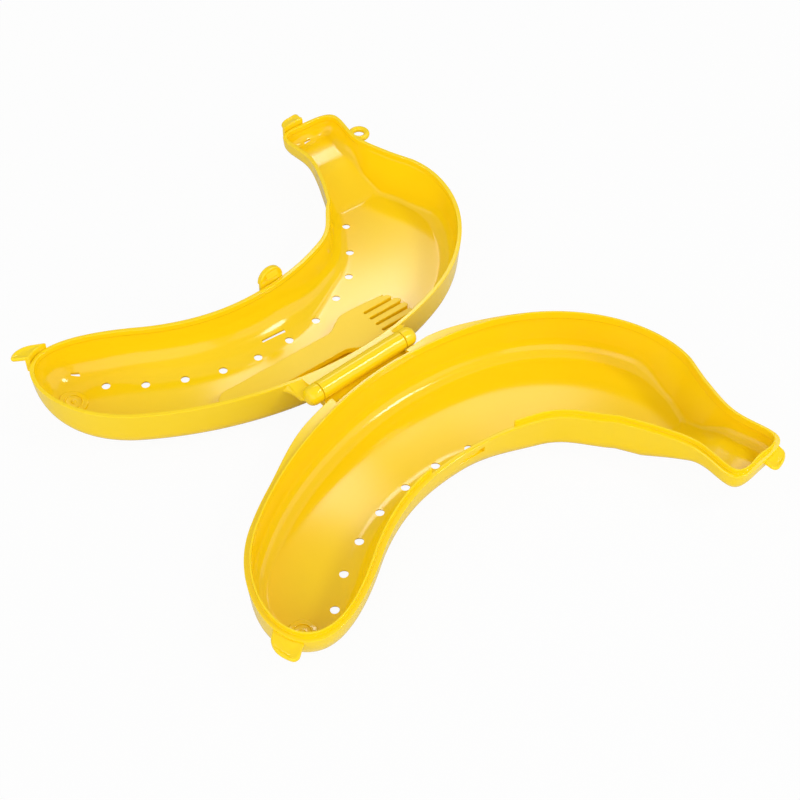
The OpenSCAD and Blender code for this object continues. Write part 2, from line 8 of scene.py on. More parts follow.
import bmesh
import bpy
import numpy as np
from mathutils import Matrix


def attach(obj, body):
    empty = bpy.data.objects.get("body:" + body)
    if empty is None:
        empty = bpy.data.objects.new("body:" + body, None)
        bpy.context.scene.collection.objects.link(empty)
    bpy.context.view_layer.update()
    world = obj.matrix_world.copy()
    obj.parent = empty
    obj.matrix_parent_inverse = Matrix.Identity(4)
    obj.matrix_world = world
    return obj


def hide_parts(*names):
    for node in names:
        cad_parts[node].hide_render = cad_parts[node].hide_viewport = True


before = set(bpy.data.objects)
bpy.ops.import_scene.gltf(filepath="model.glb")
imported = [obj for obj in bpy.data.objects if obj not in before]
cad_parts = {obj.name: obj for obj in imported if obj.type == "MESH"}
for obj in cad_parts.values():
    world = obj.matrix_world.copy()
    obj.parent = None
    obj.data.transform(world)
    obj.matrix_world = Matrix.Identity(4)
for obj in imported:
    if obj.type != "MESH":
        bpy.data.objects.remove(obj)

bl_info = {
    "name": "Hard carrying case",
    "version": (1, 0, 0),
    "blender": (4, 5, 0),
    "location": "3D View > Sidebar > Case",
    "description": "Builds a moulded clamshell case with its fork around a packed frame",
    "category": "Add Mesh",
}

MM = 0.001


def mm(*values):
    """Lengths that are stated in millimetres."""
    return [value * MM for value in values]


# Settings
def size(name, text, millimetres):
    """A length, stated in millimetres."""
    return bpy.props.FloatProperty(
        name=name, description=text, default=millimetres * MM, unit="LENGTH", precision=5)


def turn(name, text, degrees):
    """An angle, stated in degrees."""
    return bpy.props.FloatProperty(name=name, description=text, default=math.radians(degrees), unit="ROTATION")


def share(name, text, value):
    """A plain number from 0 to 1."""
    return bpy.props.FloatProperty(name=name, description=text, default=value, min=0, max=1, subtype="FACTOR")


def squareness(name, text, value):
    """The power of a superellipse: 2 is an ellipse, and more is squarer."""
    return bpy.props.FloatProperty(name=name, description=text, default=value, min=2, max=6)


def number(name, text, value, least, most):
    """A whole number."""
    return bpy.props.IntProperty(name=name, description=text, default=value, min=least, max=most)


def linear(code):
    """An sRGB hex code as linear red, green, blue and full alpha."""
    part = [int(code[i:i + 2], 16) / 255 for i in (1, 3, 5)]
    return [v / 12.92 if v <= 0.04045 else ((v + 0.055) / 1.055) ** 2.4 for v in part] + [1.0]


def colour(name, text, code):
    """A colour, stated as an sRGB hex code."""
    return bpy.props.FloatVectorProperty(
        name=name, description=text, default=linear(code), size=4, min=0, max=1, subtype="COLOR")


class CaseBow(bpy.types.PropertyGroup):
    """The spine of the case seen from above: two arcs and a straight stem."""
    bow_r: size("Bow radius", "Spine's radius along the body", 125)
    tip_turn: turn("Turn to the tip", "Spine's turn from hinge to tip", 34.5)
    flank_turn: turn("Turn to the shoulder", "Spine's turn from hinge to shoulder", 20.5)
    shoulder_r: size("Shoulder radius", "Spine's radius at the shoulder", 51.4)
    shoulder_turn: turn("Turn of the shoulder", "Spine's turn at the shoulder", 65.4)
    stem_run: size("Stem run", "Straight length of neck and stem", 45.2)


class CaseWidths(bpy.types.PropertyGroup):
    """Widths over the rim along the spine, and the two rounded ends."""
    tip_w: size("Tip width", "Width where the tip's rounding starts", 50.6)
    waist_w: size("Waist width", "Width between tip and hinge", 52.4)
    belly_w: size("Belly width", "Width at the hinge", 57)
    shoulder_w: size("Shoulder width", "Width where the shoulder starts", 60.2)
    slope_w: size("Slope width", "Width where the shoulder closes in", 55.2)
    throat_w: size("Throat width", "Width between shoulder and neck", 37.4)
    neck_w: size("Neck width", "Width of the neck", 27.8)
    stem_w: size("Stem width", "Width at the stem's end", 30.6)
    tip_reach: size("Tip reach", "Length of the tip's rounding", 44.4)
    tip_lean: size("Tip lean", "Lean of the tip to the concave side", 6.2)
    stem_reach: size("Stem reach", "Length of the stem's rounding", 8.3)
    stem_power: squareness("Stem power", "Squareness of the stem's end", 3.4)


class CaseShell(bpy.types.PropertyGroup):
    """Section of the half shells."""
    body_depth: size("Body depth", "Outer depth along the body", 21.5)
    tip_depth: size("Tip depth", "Outer depth at the tip", 20)
    stem_depth: size("Stem depth", "Outer depth along the stem", 10.3)
    ramp_foot: size("Ramp foot", "Where the floor starts to climb", 113)
    ramp_crest: size("Ramp crest", "Where the floor reaches the stem", 133.5)
    wall: size("Wall", "Wall thickness", 1.2)
    draft: turn("Draft", "Lean of the walls", 5)
    floor_r: size("Floor radius", "Outer radius of the hinge-side wall's foot", 9)
    concave_r: size("Concave floor radius", "The same on the concave side", 17)
    tip_r: size("Tip floor radius", "The same at the tip's end", 21)
    stem_r: size("Stem floor radius", "The same along the stem", 7)
    fit_gap: size("Fit gap", "Gap between faces that pass each other", 0.3)
    rim_w: size("Rim width", "Width of the lid's rim and the tray's ledge", 1.9)
    lip_h: size("Lip height", "Height of the tray's inner lip", 2)
    lip_t: size("Lip thickness", "Thickness of that lip", 0.8)
    lip_gap_len: size("Lip gap", "Length of its gap at the middle latch", 51)
    lip_gap_at: size("Lip gap place", "Place of the gap along the spine", 3)
    # Half lengths of the roundings at the ramp's foot and crest, and length and rise of the gentle climb past the crest
    foot_blend, crest_blend, brow_run, brow_drop = mm(1.2, 3, 11, 0.9)
    # Radius and added lean of the wall's foot where the hinge side closes in, and length over which a foot changes
    throat_r, throat_lean, blend = 4.5 * MM, math.radians(15), 14 * MM
    # Depth of the thick wall under the rims and at the latch pocket, length of the lip's ends, rounding of the edges
    rim_d, pocket_d, lip_cut, edge_r = mm(3, 7, 0.4, 0.35)
    # Distance between the mesh's ribs
    rib_step = 1.1 * MM


class CaseVents(bpy.types.PropertyGroup):
    """Vents, mould slots and the gate."""
    count: number("Vents", "Number of vents in each half", 11, 1, 11)
    radius: size("Vent radius", "Radius of a vent", 1.75)
    pitch: size("Vent pitch", "Distance between vents", 16.4)
    slot_len: size("Slot length", "Length of the slot near the middle latch", 11.5)
    slot_w: size("Slot width", "Width of that slot", 1.1)
    short_len: size("Short slot length", "Length of the two short slots", 3.2)
    short_w: size("Short slot width", "Width of those slots", 0.8)
    gate_r: size("Gate radius", "Radius of the raised disc inside the tip", 5.8)
    # Distance of the first vent beyond the spine's end, and of the row from the rim at the tip and at the shoulder
    first, inset_tip, inset_shoulder = mm(17.8, 15.5, 10)
    # The long slot's place along the spine and distance from the rim
    slot_at, slot_inset = mm(-9, 10.2)
    # The tip's slot: distances from the tip's end and from the tabs' split, and turn
    tip_slot_in, tip_slot_side, tip_slot_turn = 15.7 * MM, 6.4 * MM, math.radians(8)
    # The stem's slot: distances from the stem's end and from the spine
    stem_slot_in, stem_slot_side = mm(3.8, 1.3)
    # Widening of the vents, the long slot and the short slots towards the outside
    flare, slot_flare, short_flare = mm(0.5, 0.6, 0.25)
    # The gate: radii of its ring, its pip and the well under it, the well's height, and distances as for the tip's slot
    gate_ring, gate_pip, gate_well, gate_d, gate_in, gate_side = mm(3.5, 0.9, 4.3, 0.9, 15.2, 6.7)


class CaseHinge(bpy.types.PropertyGroup):
    """Barrel, knuckles, flanges and webs, and the hanging ring."""
    stand: size("Hinge stand", "Distance of the axis outside the belly's rim", 5.8)
    middle: size("Hinge middle", "Place of the hinge along its axis", -2.4)
    radius: size("Barrel radius", "Radius of barrel and knuckles", 4.2)
    length: size("Barrel length", "Length of the tray's barrel", 43)
    knuckle: size("Knuckle length", "Length of each knuckle", 6.4)
    web_t: size("Web thickness", "Thickness of flanges and webs", 3.6)
    flange_w: size("Flange width", "Width of the flanges by the knuckles", 3.2)
    ring_eye: size("Ring eye", "Radius of the hanging ring's eye", 2.3)
    ring_band: size("Ring band", "Thickness of the ring's band", 2.8)
    # A knuckle's web: widening at the wall and fall from the rim. The barrel's web: drop below the rim
    web_flare, web_fall, web_drop = mm(2.5, 2, 3)
    # Length over which a flange runs out
    flange_run = 30 * MM


class CaseTabs(bpy.types.PropertyGroup):
    """Thumb tabs and latches."""
    thick: size("Tab thickness", "Thickness of tongues and tabs", 1.8)
    tip_w: size("Tip tab width", "Width of the tray's tab at the tip", 12.5)
    tip_latch_w: size("Tip latch width", "Width of the lid's tab at the tip", 8)
    tip_reach: size("Tip tab reach", "Reach of the tabs at the tip", 7.37)
    stem_w: size("Stem tab width", "Width of the tabs at the stem", 11)
    stem_reach: size("Stem tab reach", "Reach of the tabs at the stem", 5.38)
    power: squareness("Tab power", "Squareness of an end tab", 2.3)
    rise: size("Latch rise", "Height of the end latches past the rim", 2.5)
    thumb_w: size("Middle latch width", "Width of the middle latch", 12)
    thumb_at: size("Middle latch place", "Its place along the spine", 2)
    thumb_rise: size("Middle latch rise", "Its height past the rim", 6.98)
    # Distance of the tip's split from the spine, gap at a split, and rounding of a tray's and a lid's tab there
    tip_split, split, tray_corner, lid_corner = mm(9.2, 1.2, 2.4, 1.3)
    # Drop of the tray's tabs below the ledge, depth of a tab's dish, and of an end latch below the rim
    drop, dish, root = mm(0.9, 0.5, 5)
    # Depth of the middle latch below the rim, and radius of the bead along its edge
    thumb_root, bead_r = mm(6, 1.2)
    # The barb: height of its foot past the rim, height, reach, and hold in the tray's pocket
    barb_from, barb_h, barb_out, barb_hold = mm(3, 2.4, 1.1, 0.4)


class CaseFork(bpy.types.PropertyGroup):
    """The fork and the posts that carry it."""
    length: size("Fork length", "Length of the fork", 97)
    head_len: size("Head length", "Length from the neck to the tips", 39)
    handle_w: size("Handle width", "Width of the handle", 12)
    head_w: size("Head width", "Width of the head", 24)
    tips_w: size("Tips width", "Width across the tips", 20)
    thick: size("Fork thickness", "Thickness of the fork", 2.6)
    tines: number("Tines", "Number of tines", 5, 2, 8)
    tine_len: size("Slot length", "Length of the slots between the tines", 18)
    tine_gap: size("Slot width", "Width of those slots", 1.4)
    # Length of the swell from handle to head, and roundings of the row of tips and of the edges
    swell, crown, edge_r = mm(13, 5, 0.55)
    # Place along the hinge and from the spine, height over the floor, and turn towards the hinge
    x, y, rise, turned = -2 * MM, 5.2 * MM, 2.6 * MM, math.radians(2.5)
    # Radius of the posts, and their distance from the handle's ends
    post_r, post_inset = mm(3, 15)


class CaseLooks(bpy.types.PropertyGroup):
    """Colours and gloss."""
    yellow: colour("Case yellow", "Colour of the moulded plastic", "#FEDC14")
    deep: colour("Deep yellow", "Colour it drifts to", "#FDD50E")
    rough: share("Roughness", "Roughness of the polished case", 0.12)
    satin: share("Fork roughness", "Roughness of the satin fork", 0.3)


GROUPS = {
    "case_bow": CaseBow, "case_widths": CaseWidths, "case_shell": CaseShell, "case_vents": CaseVents,
    "case_hinge": CaseHinge, "case_tabs": CaseTabs, "case_fork": CaseFork, "case_looks": CaseLooks,
}

# Places along the spine, as shares of its length from the hinge to the stem's end
WIDTH_AT = np.array([0.06, 0.47, 0.64, 0.785, 0.893, 1.0])
THROAT_FROM, THROAT_TO, STEM_FROM = 0.58, 0.82, 0.86
ROW_TO, RING_AT = 0.6, 0.917
# Places as shares of the length from the hinge to the tip
WAIST_AT, TIP_DEPTH_RUN = 0.45, 0.8
# Share of the tip's half turn over which its foot takes the form of the concave side
TIP_TURN_RUN = 1.3
TIP_RIBS, STEM_RIBS, FOOT_STEPS, FLOOR_STEPS, WALL_STEPS = 110, 48, 15, 9, 3

# Doubles within this distance merge
MERGE = 0.001 * MM
# Radius at a turned piece's poles, rounding of plates, and lift of a plate over the rim
POLE, EDGE, SEAM = mm(0.2, 0.4, 0.02)
# Reach of a cutter below the shell's inside, in walls, and above it
CUT_WALLS, CUT_ABOVE = 3, 4 * MM
# Rounding of an end tab's and of the middle latch's edge, as shares of the thickness
PAD_EDGE, LATCH_EDGE = 0.45, 0.35
# Length of the rim's end that the tabs are fitted to
END_LEN = 12 * MM


# Plan and section of the case
def smooth(u):
    """The smooth step from 0 to 1 with level ends."""
    v = np.clip(u, 0, 1)
    return v * v * (3 - 2 * v)


def soft_rise(x, blend):
    """Zero, then rising one for one, with a parabola between -blend and blend."""
    return np.where(x <= -blend, 0, np.where(x >= blend, x, (x + blend) ** 2 / (4 * blend)))


class Plan:
    """The case seen from above and in section, worked out from the settings."""

    def __init__(self, scene):
        self.bow, self.width, self.shell = scene.case_bow, scene.case_widths, scene.case_shell
        self.vent, self.hinge, self.tab, self.fork = (
            scene.case_vents, scene.case_hinge, scene.case_tabs, scene.case_fork)
        b, w, c = self.bow, self.width, self.shell
        self.tip_len = b.bow_r * b.tip_turn
        self.flank_len = b.bow_r * b.flank_turn
        self.shoulder_end = self.flank_len + b.shoulder_r * b.shoulder_turn
        self.stem_end = self.shoulder_end + b.stem_run
        self.rim_z = c.body_depth - c.fit_gap / 2
        self.hinge_y = w.belly_w / 2 + self.hinge.stand
        self.lip_out = c.rim_w + c.fit_gap
        self.lip_in = self.lip_out + c.lip_t
        self.station = np.r_[-self.tip_len, -WAIST_AT * self.tip_len, WIDTH_AT * self.stem_end]
        self.half = np.array([w.tip_w, w.waist_w, w.belly_w, w.shoulder_w,
                              w.slope_w, w.throat_w, w.neck_w, w.stem_w]) / 2

    def heading(self, s):
        """Heading of the spine: two arcs that turn right, then straight."""
        b = self.bow
        round_shoulder = -b.flank_turn - (s - self.flank_len) / b.shoulder_r
        return np.where(s <= self.flank_len, -s / b.bow_r,
                        np.where(s <= self.shoulder_end, round_shoulder, -b.flank_turn - b.shoulder_turn))

    def along(self, s):
        """Directions along the spine."""
        h = self.heading(np.asarray(s, float))
        return np.stack([np.cos(h), np.sin(h)], -1)

    def across(self, s):
        """Directions across the spine, towards the hinge."""
        return self.along(s)[..., ::-1] * [-1, 1]

    def spine(self, s):
        """Points of the spine: each arc is its radius times the change of the heading's sine and cosine."""
        s = np.asarray(s, float)
        b = self.bow

        def arc(r, start, end):
            return r * np.stack([np.sin(start) - np.sin(end), np.cos(end) - np.cos(start)], -1)

        first = arc(b.bow_r, 0, self.heading(np.minimum(s, self.flank_len)))
        turned = self.heading(np.clip(s, self.flank_len, self.shoulder_end))
        second = arc(b.shoulder_r, -b.flank_turn, turned)
        run = np.maximum(s - self.shoulder_end, 0)[..., None] * self.along(self.stem_end)
        return first + second + run

    def half_width(self, s):
        """Half the rim's width: a cubic curve through the stations, each slope taken from the two neighbours."""
        t, y = self.station, self.half
        before, after = np.r_[0, 0:len(t) - 1], np.r_[1:len(t), len(t) - 1]
        slope = (y[after] - y[before]) / (t[after] - t[before])
        i = np.clip(np.searchsorted(t, s) - 1, 0, len(t) - 2)
        h = t[i + 1] - t[i]
        u = (s - t[i]) / h
        return ((2 * u**3 - 3 * u**2 + 1) * y[i] + (u**3 - 2 * u**2 + u) * h * slope[i]
                + (3 * u**2 - 2 * u**3) * y[i + 1] + (u**3 - u**2) * h * slope[i + 1])

    def half_at(self, s):
        """Half the rim's width at one place."""
        return float(self.half_width(np.array(s)))

    def depth(self, s):
        """Outer depth: a little less at the tip, full along the body, then a ramp and a gentle brow up to the stem."""
        c = self.shell
        crest = soft_rise(s - c.ramp_crest, c.crest_blend)
        ramp = (soft_rise(s - c.ramp_foot, c.foot_blend) - crest) / (c.ramp_crest - c.ramp_foot)
        brow = (crest - soft_rise(s - c.ramp_crest - c.brow_run, c.crest_blend)) / c.brow_run
        grown = smooth((s + self.tip_len) / (TIP_DEPTH_RUN * self.tip_len))
        climb = (c.body_depth - c.stem_depth - c.brow_drop) * ramp + c.brow_drop * brow
        return np.where(s < 0, c.tip_depth + (c.body_depth - c.tip_depth) * grown, c.body_depth - climb)

    def places(self):
        """Places of the ribs along the spine, closer together at both ends of the lip's gap."""
        c = self.shell
        start, end = c.lip_gap_at - c.lip_gap_len / 2, c.lip_gap_at + c.lip_gap_len / 2
        stops = [-self.tip_len, start - c.lip_cut, start, end, end + c.lip_cut, self.stem_end]
        runs = [np.linspace(a, z, max(4, round((z - a) / c.rib_step)) + 1) for a, z in zip(stops, stops[1:])]
        return np.unique(np.concatenate(runs))

    def ribs(self):
        """The plan lines from the spine to the rim, all round: hinge side, stem, concave side and tip."""
        c, w, start, end = self.shell, self.width, -self.tip_len, self.stem_end
        s = self.places()
        q = np.linspace(0, np.pi, STEM_RIBS + 2)[1:-1]
        power = 2 / w.stem_power
        stem = self.at_place(end, w.stem_reach * np.sin(q) ** power,
                             w.stem_w / 2 * np.sign(np.cos(q)) * np.abs(np.cos(q)) ** power) - self.spine(end)
        a = np.linspace(0, np.pi, TIP_RIBS + 2)[1:-1]
        tip = self.at_place(start, -w.tip_reach * np.sin(a),
                            -w.tip_w / 2 * np.cos(a) - w.tip_lean * np.sin(a) ** 2) - self.spine(start)
        throat = smooth((s - THROAT_FROM * end) / c.blend) * (1 - smooth((s - THROAT_TO * end) / c.blend))
        to_stem = smooth((s - STEM_FROM * end) / c.blend)
        stem_r = c.stem_r * c.body_depth / c.stem_depth
        more = c.concave_r - c.floor_r
        concave = c.floor_r + more * (1 - smooth(s / self.flank_len))
        convex = c.floor_r + (c.throat_r - c.floor_r) * throat
        sides_r = [r + (stem_r - r) * to_stem for r in (convex, concave)]
        round_tip = (c.floor_r + more * smooth((1 + np.cos(a)) / TIP_TURN_RUN)
                     + (c.tip_r - c.concave_r) * np.sin(a) ** 2 * np.minimum(1, 1 + np.cos(a)) ** 2)
        lip = smooth((np.abs(s - c.lip_gap_at) - c.lip_gap_len / 2) / c.lip_cut)
        sides = self.half_width(s)[:, None] * self.across(s)
        line = np.concatenate([sides, stem, -sides[::-1], tip])
        reach = np.linalg.norm(line, axis=1)
        place = np.concatenate([s, np.full(STEM_RIBS, end), s[::-1], np.full(TIP_RIBS, start)])
        return {
            "place": place, "base": self.spine(place), "reach": reach, "line": line / reach[:, None],
            "radius": np.concatenate([sides_r[0], np.full(STEM_RIBS, stem_r), sides_r[1][::-1], round_tip]),
            "lean": c.draft + c.throat_lean * np.concatenate([throat, np.zeros(STEM_RIBS + len(s) + TIP_RIBS)]),
            "lip": np.concatenate([np.ones(len(s) + STEM_RIBS), lip[::-1], np.ones(TIP_RIBS)]),
        }

    def rim(self):
        """The rim's outline from above."""
        r = self.ribs()
        return r["base"] + r["line"] * r["reach"][:, None]

    def at_place(self, s, x, y):
        """Plan points from a local frame on the spine: x along it and y across it towards the hinge."""
        x, y = np.asarray(x, float)[..., None], np.asarray(y, float)[..., None]
        return self.spine(s) + x * self.along(s) + y * self.across(s)

    def at_tip(self, x, y):
        """Plan points from the tip's frame: x runs out from the rim's end, y from the tabs' split to the hinge."""
        return self.at_place(-self.tip_len, -np.add(x, self.width.tip_reach), np.subtract(y, self.tab.tip_split))

    def at_stem(self, x, y):
        """Plan points from the stem's frame: x runs out from the rim's end, y from the spine to the hinge."""
        return self.at_place(self.stem_end, np.add(x, self.width.stem_reach), y)

    def vents(self):
        """Centres of the vents: each step is longer on the spine, because the row lies inside the bend."""
        v, centres, s = self.vent, [], -self.tip_len - self.vent.first
        for _ in range(v.count):
            inset = v.inset_tip + (v.inset_shoulder - v.inset_tip) * smooth(s / (ROW_TO * self.stem_end))
            side = self.half_at(max(s, -self.tip_len)) - inset
            centres.append(self.spine(s) - side * self.across(s))
            r = self.bow.bow_r if s <= self.flank_len else self.bow.shoulder_r
            s += v.pitch * r / (r - side)
        return np.array(centres)

    def gate(self):
        """Centre of the gate in plan."""
        return self.at_tip(-self.vent.gate_in, self.vent.gate_side)

    def to_lid(self, points):
        """The mirror image of tray points across the hinge."""
        out = np.array(points, float)
        out[..., 1] = 2 * self.hinge_y - out[..., 1]
        return out


# Meshes
def raised(plan_xy, z):
    """Plan points with their heights, which are spread over them."""
    return np.concatenate([plan_xy, np.broadcast_to(z, plan_xy.shape[:-1])[..., None]], -1)


def grid_quads(rows, cols, close_rows, close_cols):
    """Quads between the neighbours of a grid of points, as rows of four indices."""
    i, j = np.meshgrid(np.arange(rows - (not close_rows)), np.arange(cols - (not close_cols)), indexing="ij")
    k, m = (i + 1) % rows, (j + 1) % cols
    return np.stack([i * cols + j, k * cols + j, k * cols + m, i * cols + m], -1).reshape(-1, 4).tolist()


def mesh_object(name, points, faces):
    """A mesh object with its doubles merged, its faces turned outwards and smooth shading."""
    mesh = bpy.data.meshes.new(name)
    mesh.from_pydata(np.asarray(points, float).reshape(-1, 3).tolist(), [], faces)
    work = bmesh.new()
    work.from_mesh(mesh)
    bmesh.ops.remove_doubles(work, verts=work.verts, dist=MERGE)
    bmesh.ops.dissolve_degenerate(work, edges=work.edges, dist=MERGE)
    bmesh.ops.recalc_face_normals(work, faces=work.faces)
    work.to_mesh(mesh)
    work.free()
    mesh.shade_smooth()
    obj = bpy.data.objects.new(name, mesh)
    bpy.context.scene.collection.objects.link(obj)
    return obj


def tube(name, rings):
    """A closed piece from a stack of rings: quads between neighbouring rings and one face on each end."""
    n, m = rings.shape[:2]
    ends = [list(range(m)), list(range((n - 1) * m, n * m))]
    return mesh_object(name, rings, grid_quads(n, m, False, True) + ends)


def lathe_rings(profile, place, steps=72):
    """Rings of a turned piece: each profile point is a distance along the axis and a radius from it."""
    a = np.linspace(0, 2 * np.pi, steps, endpoint=False)
    t = np.repeat(profile[:, :1], steps, 1)
    return place(t, profile[:, 1:] * np.cos(a), profile[:, 1:] * np.sin(a))


def upright(centre):
    """Places a turned piece on a vertical axis through a plan point."""
    return lambda t, u, v: np.stack([centre[0] + u, centre[1] + v, t], -1)


def round_corners(points, radii, steps=5):
    """A line, or a row of lines, with each corner replaced by a curve that starts and ends at that distance from
    the corner. The curve is quadratic: the corner pulls it between its two ends."""
    pts = np.moveaxis(np.asarray(points, float), -2, 0)
    out = [pts[:1]]
    t = np.linspace(0, 1, steps + 1).reshape((-1,) + (1,) * (pts.ndim - 1))
    for before, corner, after, r in zip(pts[:-2], pts[1:-1], pts[2:], radii):
        back, on = before - corner, after - corner
        a = corner + back / np.linalg.norm(back, axis=-1, keepdims=True) * r
        b = corner + on / np.linalg.norm(on, axis=-1, keepdims=True) * r
        out.append((1 - t) ** 2 * a + 2 * t * (1 - t) * corner + t**2 * b)
    return np.moveaxis(np.concatenate(out + [pts[-1:]]), 0, -2)


def spread_evenly(line, count):
    """The same line with its points at even distances along it."""
    far = np.r_[0, np.cumsum(np.linalg.norm(np.diff(line, axis=0), axis=1))]
    step = np.linspace(0, far[-1], count)
    return np.column_stack([np.interp(step, far, line[:, k]) for k in range(line.shape[1])])


def round_loop(points, radii, steps=5):
    """A closed outline with rounded corners."""
    pts = np.asarray(points, float)
    return round_corners(np.concatenate([pts[-1:], pts, pts[:1]]), radii, steps)[1:-1]


def pad_rings(outline, bottom, top, edge, dish=0.0, steps=10, rings=6, least=0.02):
    """Rings of a rounded pad: from the middle of its underside, out round its edge and in to the middle of its top,
    which sinks by dish as a parabola."""
    centre = outline.mean(0)
    spread = outline - centre
    far = np.linalg.norm(spread, axis=1, keepdims=True)
    q = np.linspace(-np.pi / 2, np.pi / 2, steps + 1)
    shrink = edge * (1 - np.cos(q))
    level = np.where(q < 0, bottom + edge * (1 + np.sin(q)), top - edge * (1 - np.sin(q)))
    rim = centre + spread * (1 - shrink[:, None, None] / far)
    inner = np.linspace(least, 1, rings + 1)[:-1]
    low = centre + (rim[0] - centre) * inner[:, None, None]
    high = centre + (rim[-1] - centre) * inner[::-1, None, None]
    z = np.r_[np.full(rings, bottom), level, top - dish * (1 - inner[::-1] ** 2)]
    return raised(np.concatenate([low, rim, high]), z[:, None])


def slab(name, outline, bottom, top, edge):
    """A flat plate with any outline, its edges rounded by a Bevel modifier."""
    obj = tube(name, raised(np.stack([outline, outline]), np.array([[bottom], [top]])))
    bevel = obj.modifiers.new("Edge rounding", "BEVEL")
    bevel.width, bevel.segments, bevel.limit_method, bevel.angle_limit = edge, 4, "ANGLE", math.radians(50)
    return obj


def edge_plate(name, inner, outer, bottom, top, edge, fall=0.0):
    """A plate between two plan lines: at each station the section runs out along the bottom from the hidden inner
    side, up round both rounded outer edges and back in along the top, which falls outwards."""
    way = outer - inner
    way = way / np.linalg.norm(way, axis=1, keepdims=True)
    q = np.linspace(0, np.pi / 2, 5)
    back = edge * np.r_[1 - np.sin(q), 1 - np.cos(q)]
    level = np.r_[bottom + edge * (1 - np.cos(q)), top - fall - edge * (1 - np.sin(q))]
    curve = outer[:, None] - way[:, None] * back[:, None]
    plan_xy = np.concatenate([inner[:, None], curve, inner[:, None]], 1)
    return tube(name, raised(plan_xy, np.r_[bottom, level, top]))


def cut(obj, cutters):
    """Takes the cutters' shapes out of a piece for good, and removes the cutters."""
    for cutter in cutters:
        step = obj.modifiers.new("Cut", "BOOLEAN")
        step.operation, step.solver, step.object = "DIFFERENCE", "EXACT", cutter
    bpy.context.view_layer.update()
    graph = bpy.context.evaluated_depsgraph_get()
    done = bpy.data.meshes.new_from_object(obj.evaluated_get(graph))
    obj.modifiers.clear()
    obj.data = done
    for cutter in cutters:
        bpy.data.objects.remove(cutter)
    if len(done.polygons) == 0:
        raise RuntimeError(obj.name + " is empty after its cuts")


def finish_piece(obj, body, material, node="", sharp=40):
    """Shades a piece, gives it its material, hangs it under its CAD body's empty and hides the CAD node that it
    replaces. The node is the one with the body's name where none is given."""
    obj.data.shade_smooth()
    obj.data.set_sharp_from_angle(angle=math.radians(sharp))
    even = obj.modifiers.new("Even shading", "WEIGHTED_NORMAL")
    even.keep_sharp = True
    obj.data.materials.clear()
    obj.data.materials.append(material)
    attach(obj, body)
    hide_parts(node or body)


# Materials
def add_node(tree, kind, settings=(), links=()):
    """Adds one node, sets its values and links its inputs: a setting is a socket's name or number or a property's name,
    and a value, and a link is a socket, the node it comes from and that node's output."""
    node = tree.nodes.new(kind)
    for name, value in settings:
        if isinstance(name, int) or name in node.inputs:
            node.inputs[name].default_value = value
        else:
            setattr(node, name, value)
    for name, source, output in links:
        tree.links.new(source.outputs[output], node.inputs[name])
    return node


def new_material(name):
    """A material with an empty node tree."""
    made = bpy.data.materials.new(name)
    made.use_nodes = True
    made.node_tree.nodes.clear()
    return made, made.node_tree


# Waves in a metre: the melt's flow shows over about 56 mm, and one ripple takes 1.4 mm, coarse enough to show
FLOW_SCALE, RIPPLE_SCALE = 18.0, 700.0
# A Mix node's sockets for two colours and for the mixed colour
MIX_A, MIX_B, MIX_OUT = 6, 7, 2


def polypropylene(name, looks, rough):
    """Moulded polypropylene: a yellow that drifts slightly with the melt's flow, gloss that drifts with it, and a
    faint ripple that breaks up the reflections."""
    if name in bpy.data.materials:
        return bpy.data.materials[name]
    made, tree = new_material(name)
    place = add_node(tree, "ShaderNodeTexCoord")
    flow = add_node(tree, "ShaderNodeTexNoise", [("Scale", FLOW_SCALE), ("Detail", 2.0)], [("Vector", place, "Object")])
    tint = add_node(tree, "ShaderNodeMix", [("data_type", "RGBA"), (MIX_A, looks.yellow), (MIX_B, looks.deep)],
                    [("Factor", flow, "Fac")])
    gloss = add_node(tree, "ShaderNodeMapRange", [("To Min", 0.8 * rough), ("To Max", 1.2 * rough)],
                     [("Value", flow, "Fac")])
    waves = add_node(tree, "ShaderNodeTexNoise", [("Scale", RIPPLE_SCALE), ("Detail", 1.0)],
                     [("Vector", place, "Object")])
    ripple = add_node(tree, "ShaderNodeBump", [("Strength", 0.1), ("Distance", 0.02 * MM)], [("Height", waves, "Fac")])
    plastic = add_node(tree, "ShaderNodeBsdfPrincipled", [("IOR", 1.42)],
                       [("Base Color", tint, MIX_OUT), ("Roughness", gloss, "Result"), ("Normal", ripple, "Normal")])
    add_node(tree, "ShaderNodeOutputMaterial", [], [("Surface", plastic, "BSDF")])
    return made


def polished_polypropylene(looks):
    """The case's plastic: the eye gets clear, nearly sharp reflections over a saturated yellow."""
    return polypropylene("Polished polypropylene", looks, looks.rough)


def satin_polypropylene(looks):
    """The fork's plastic: the eye gets the same yellow with a broad soft sheen."""
    return polypropylene("Satin polypropylene", looks, looks.satin)


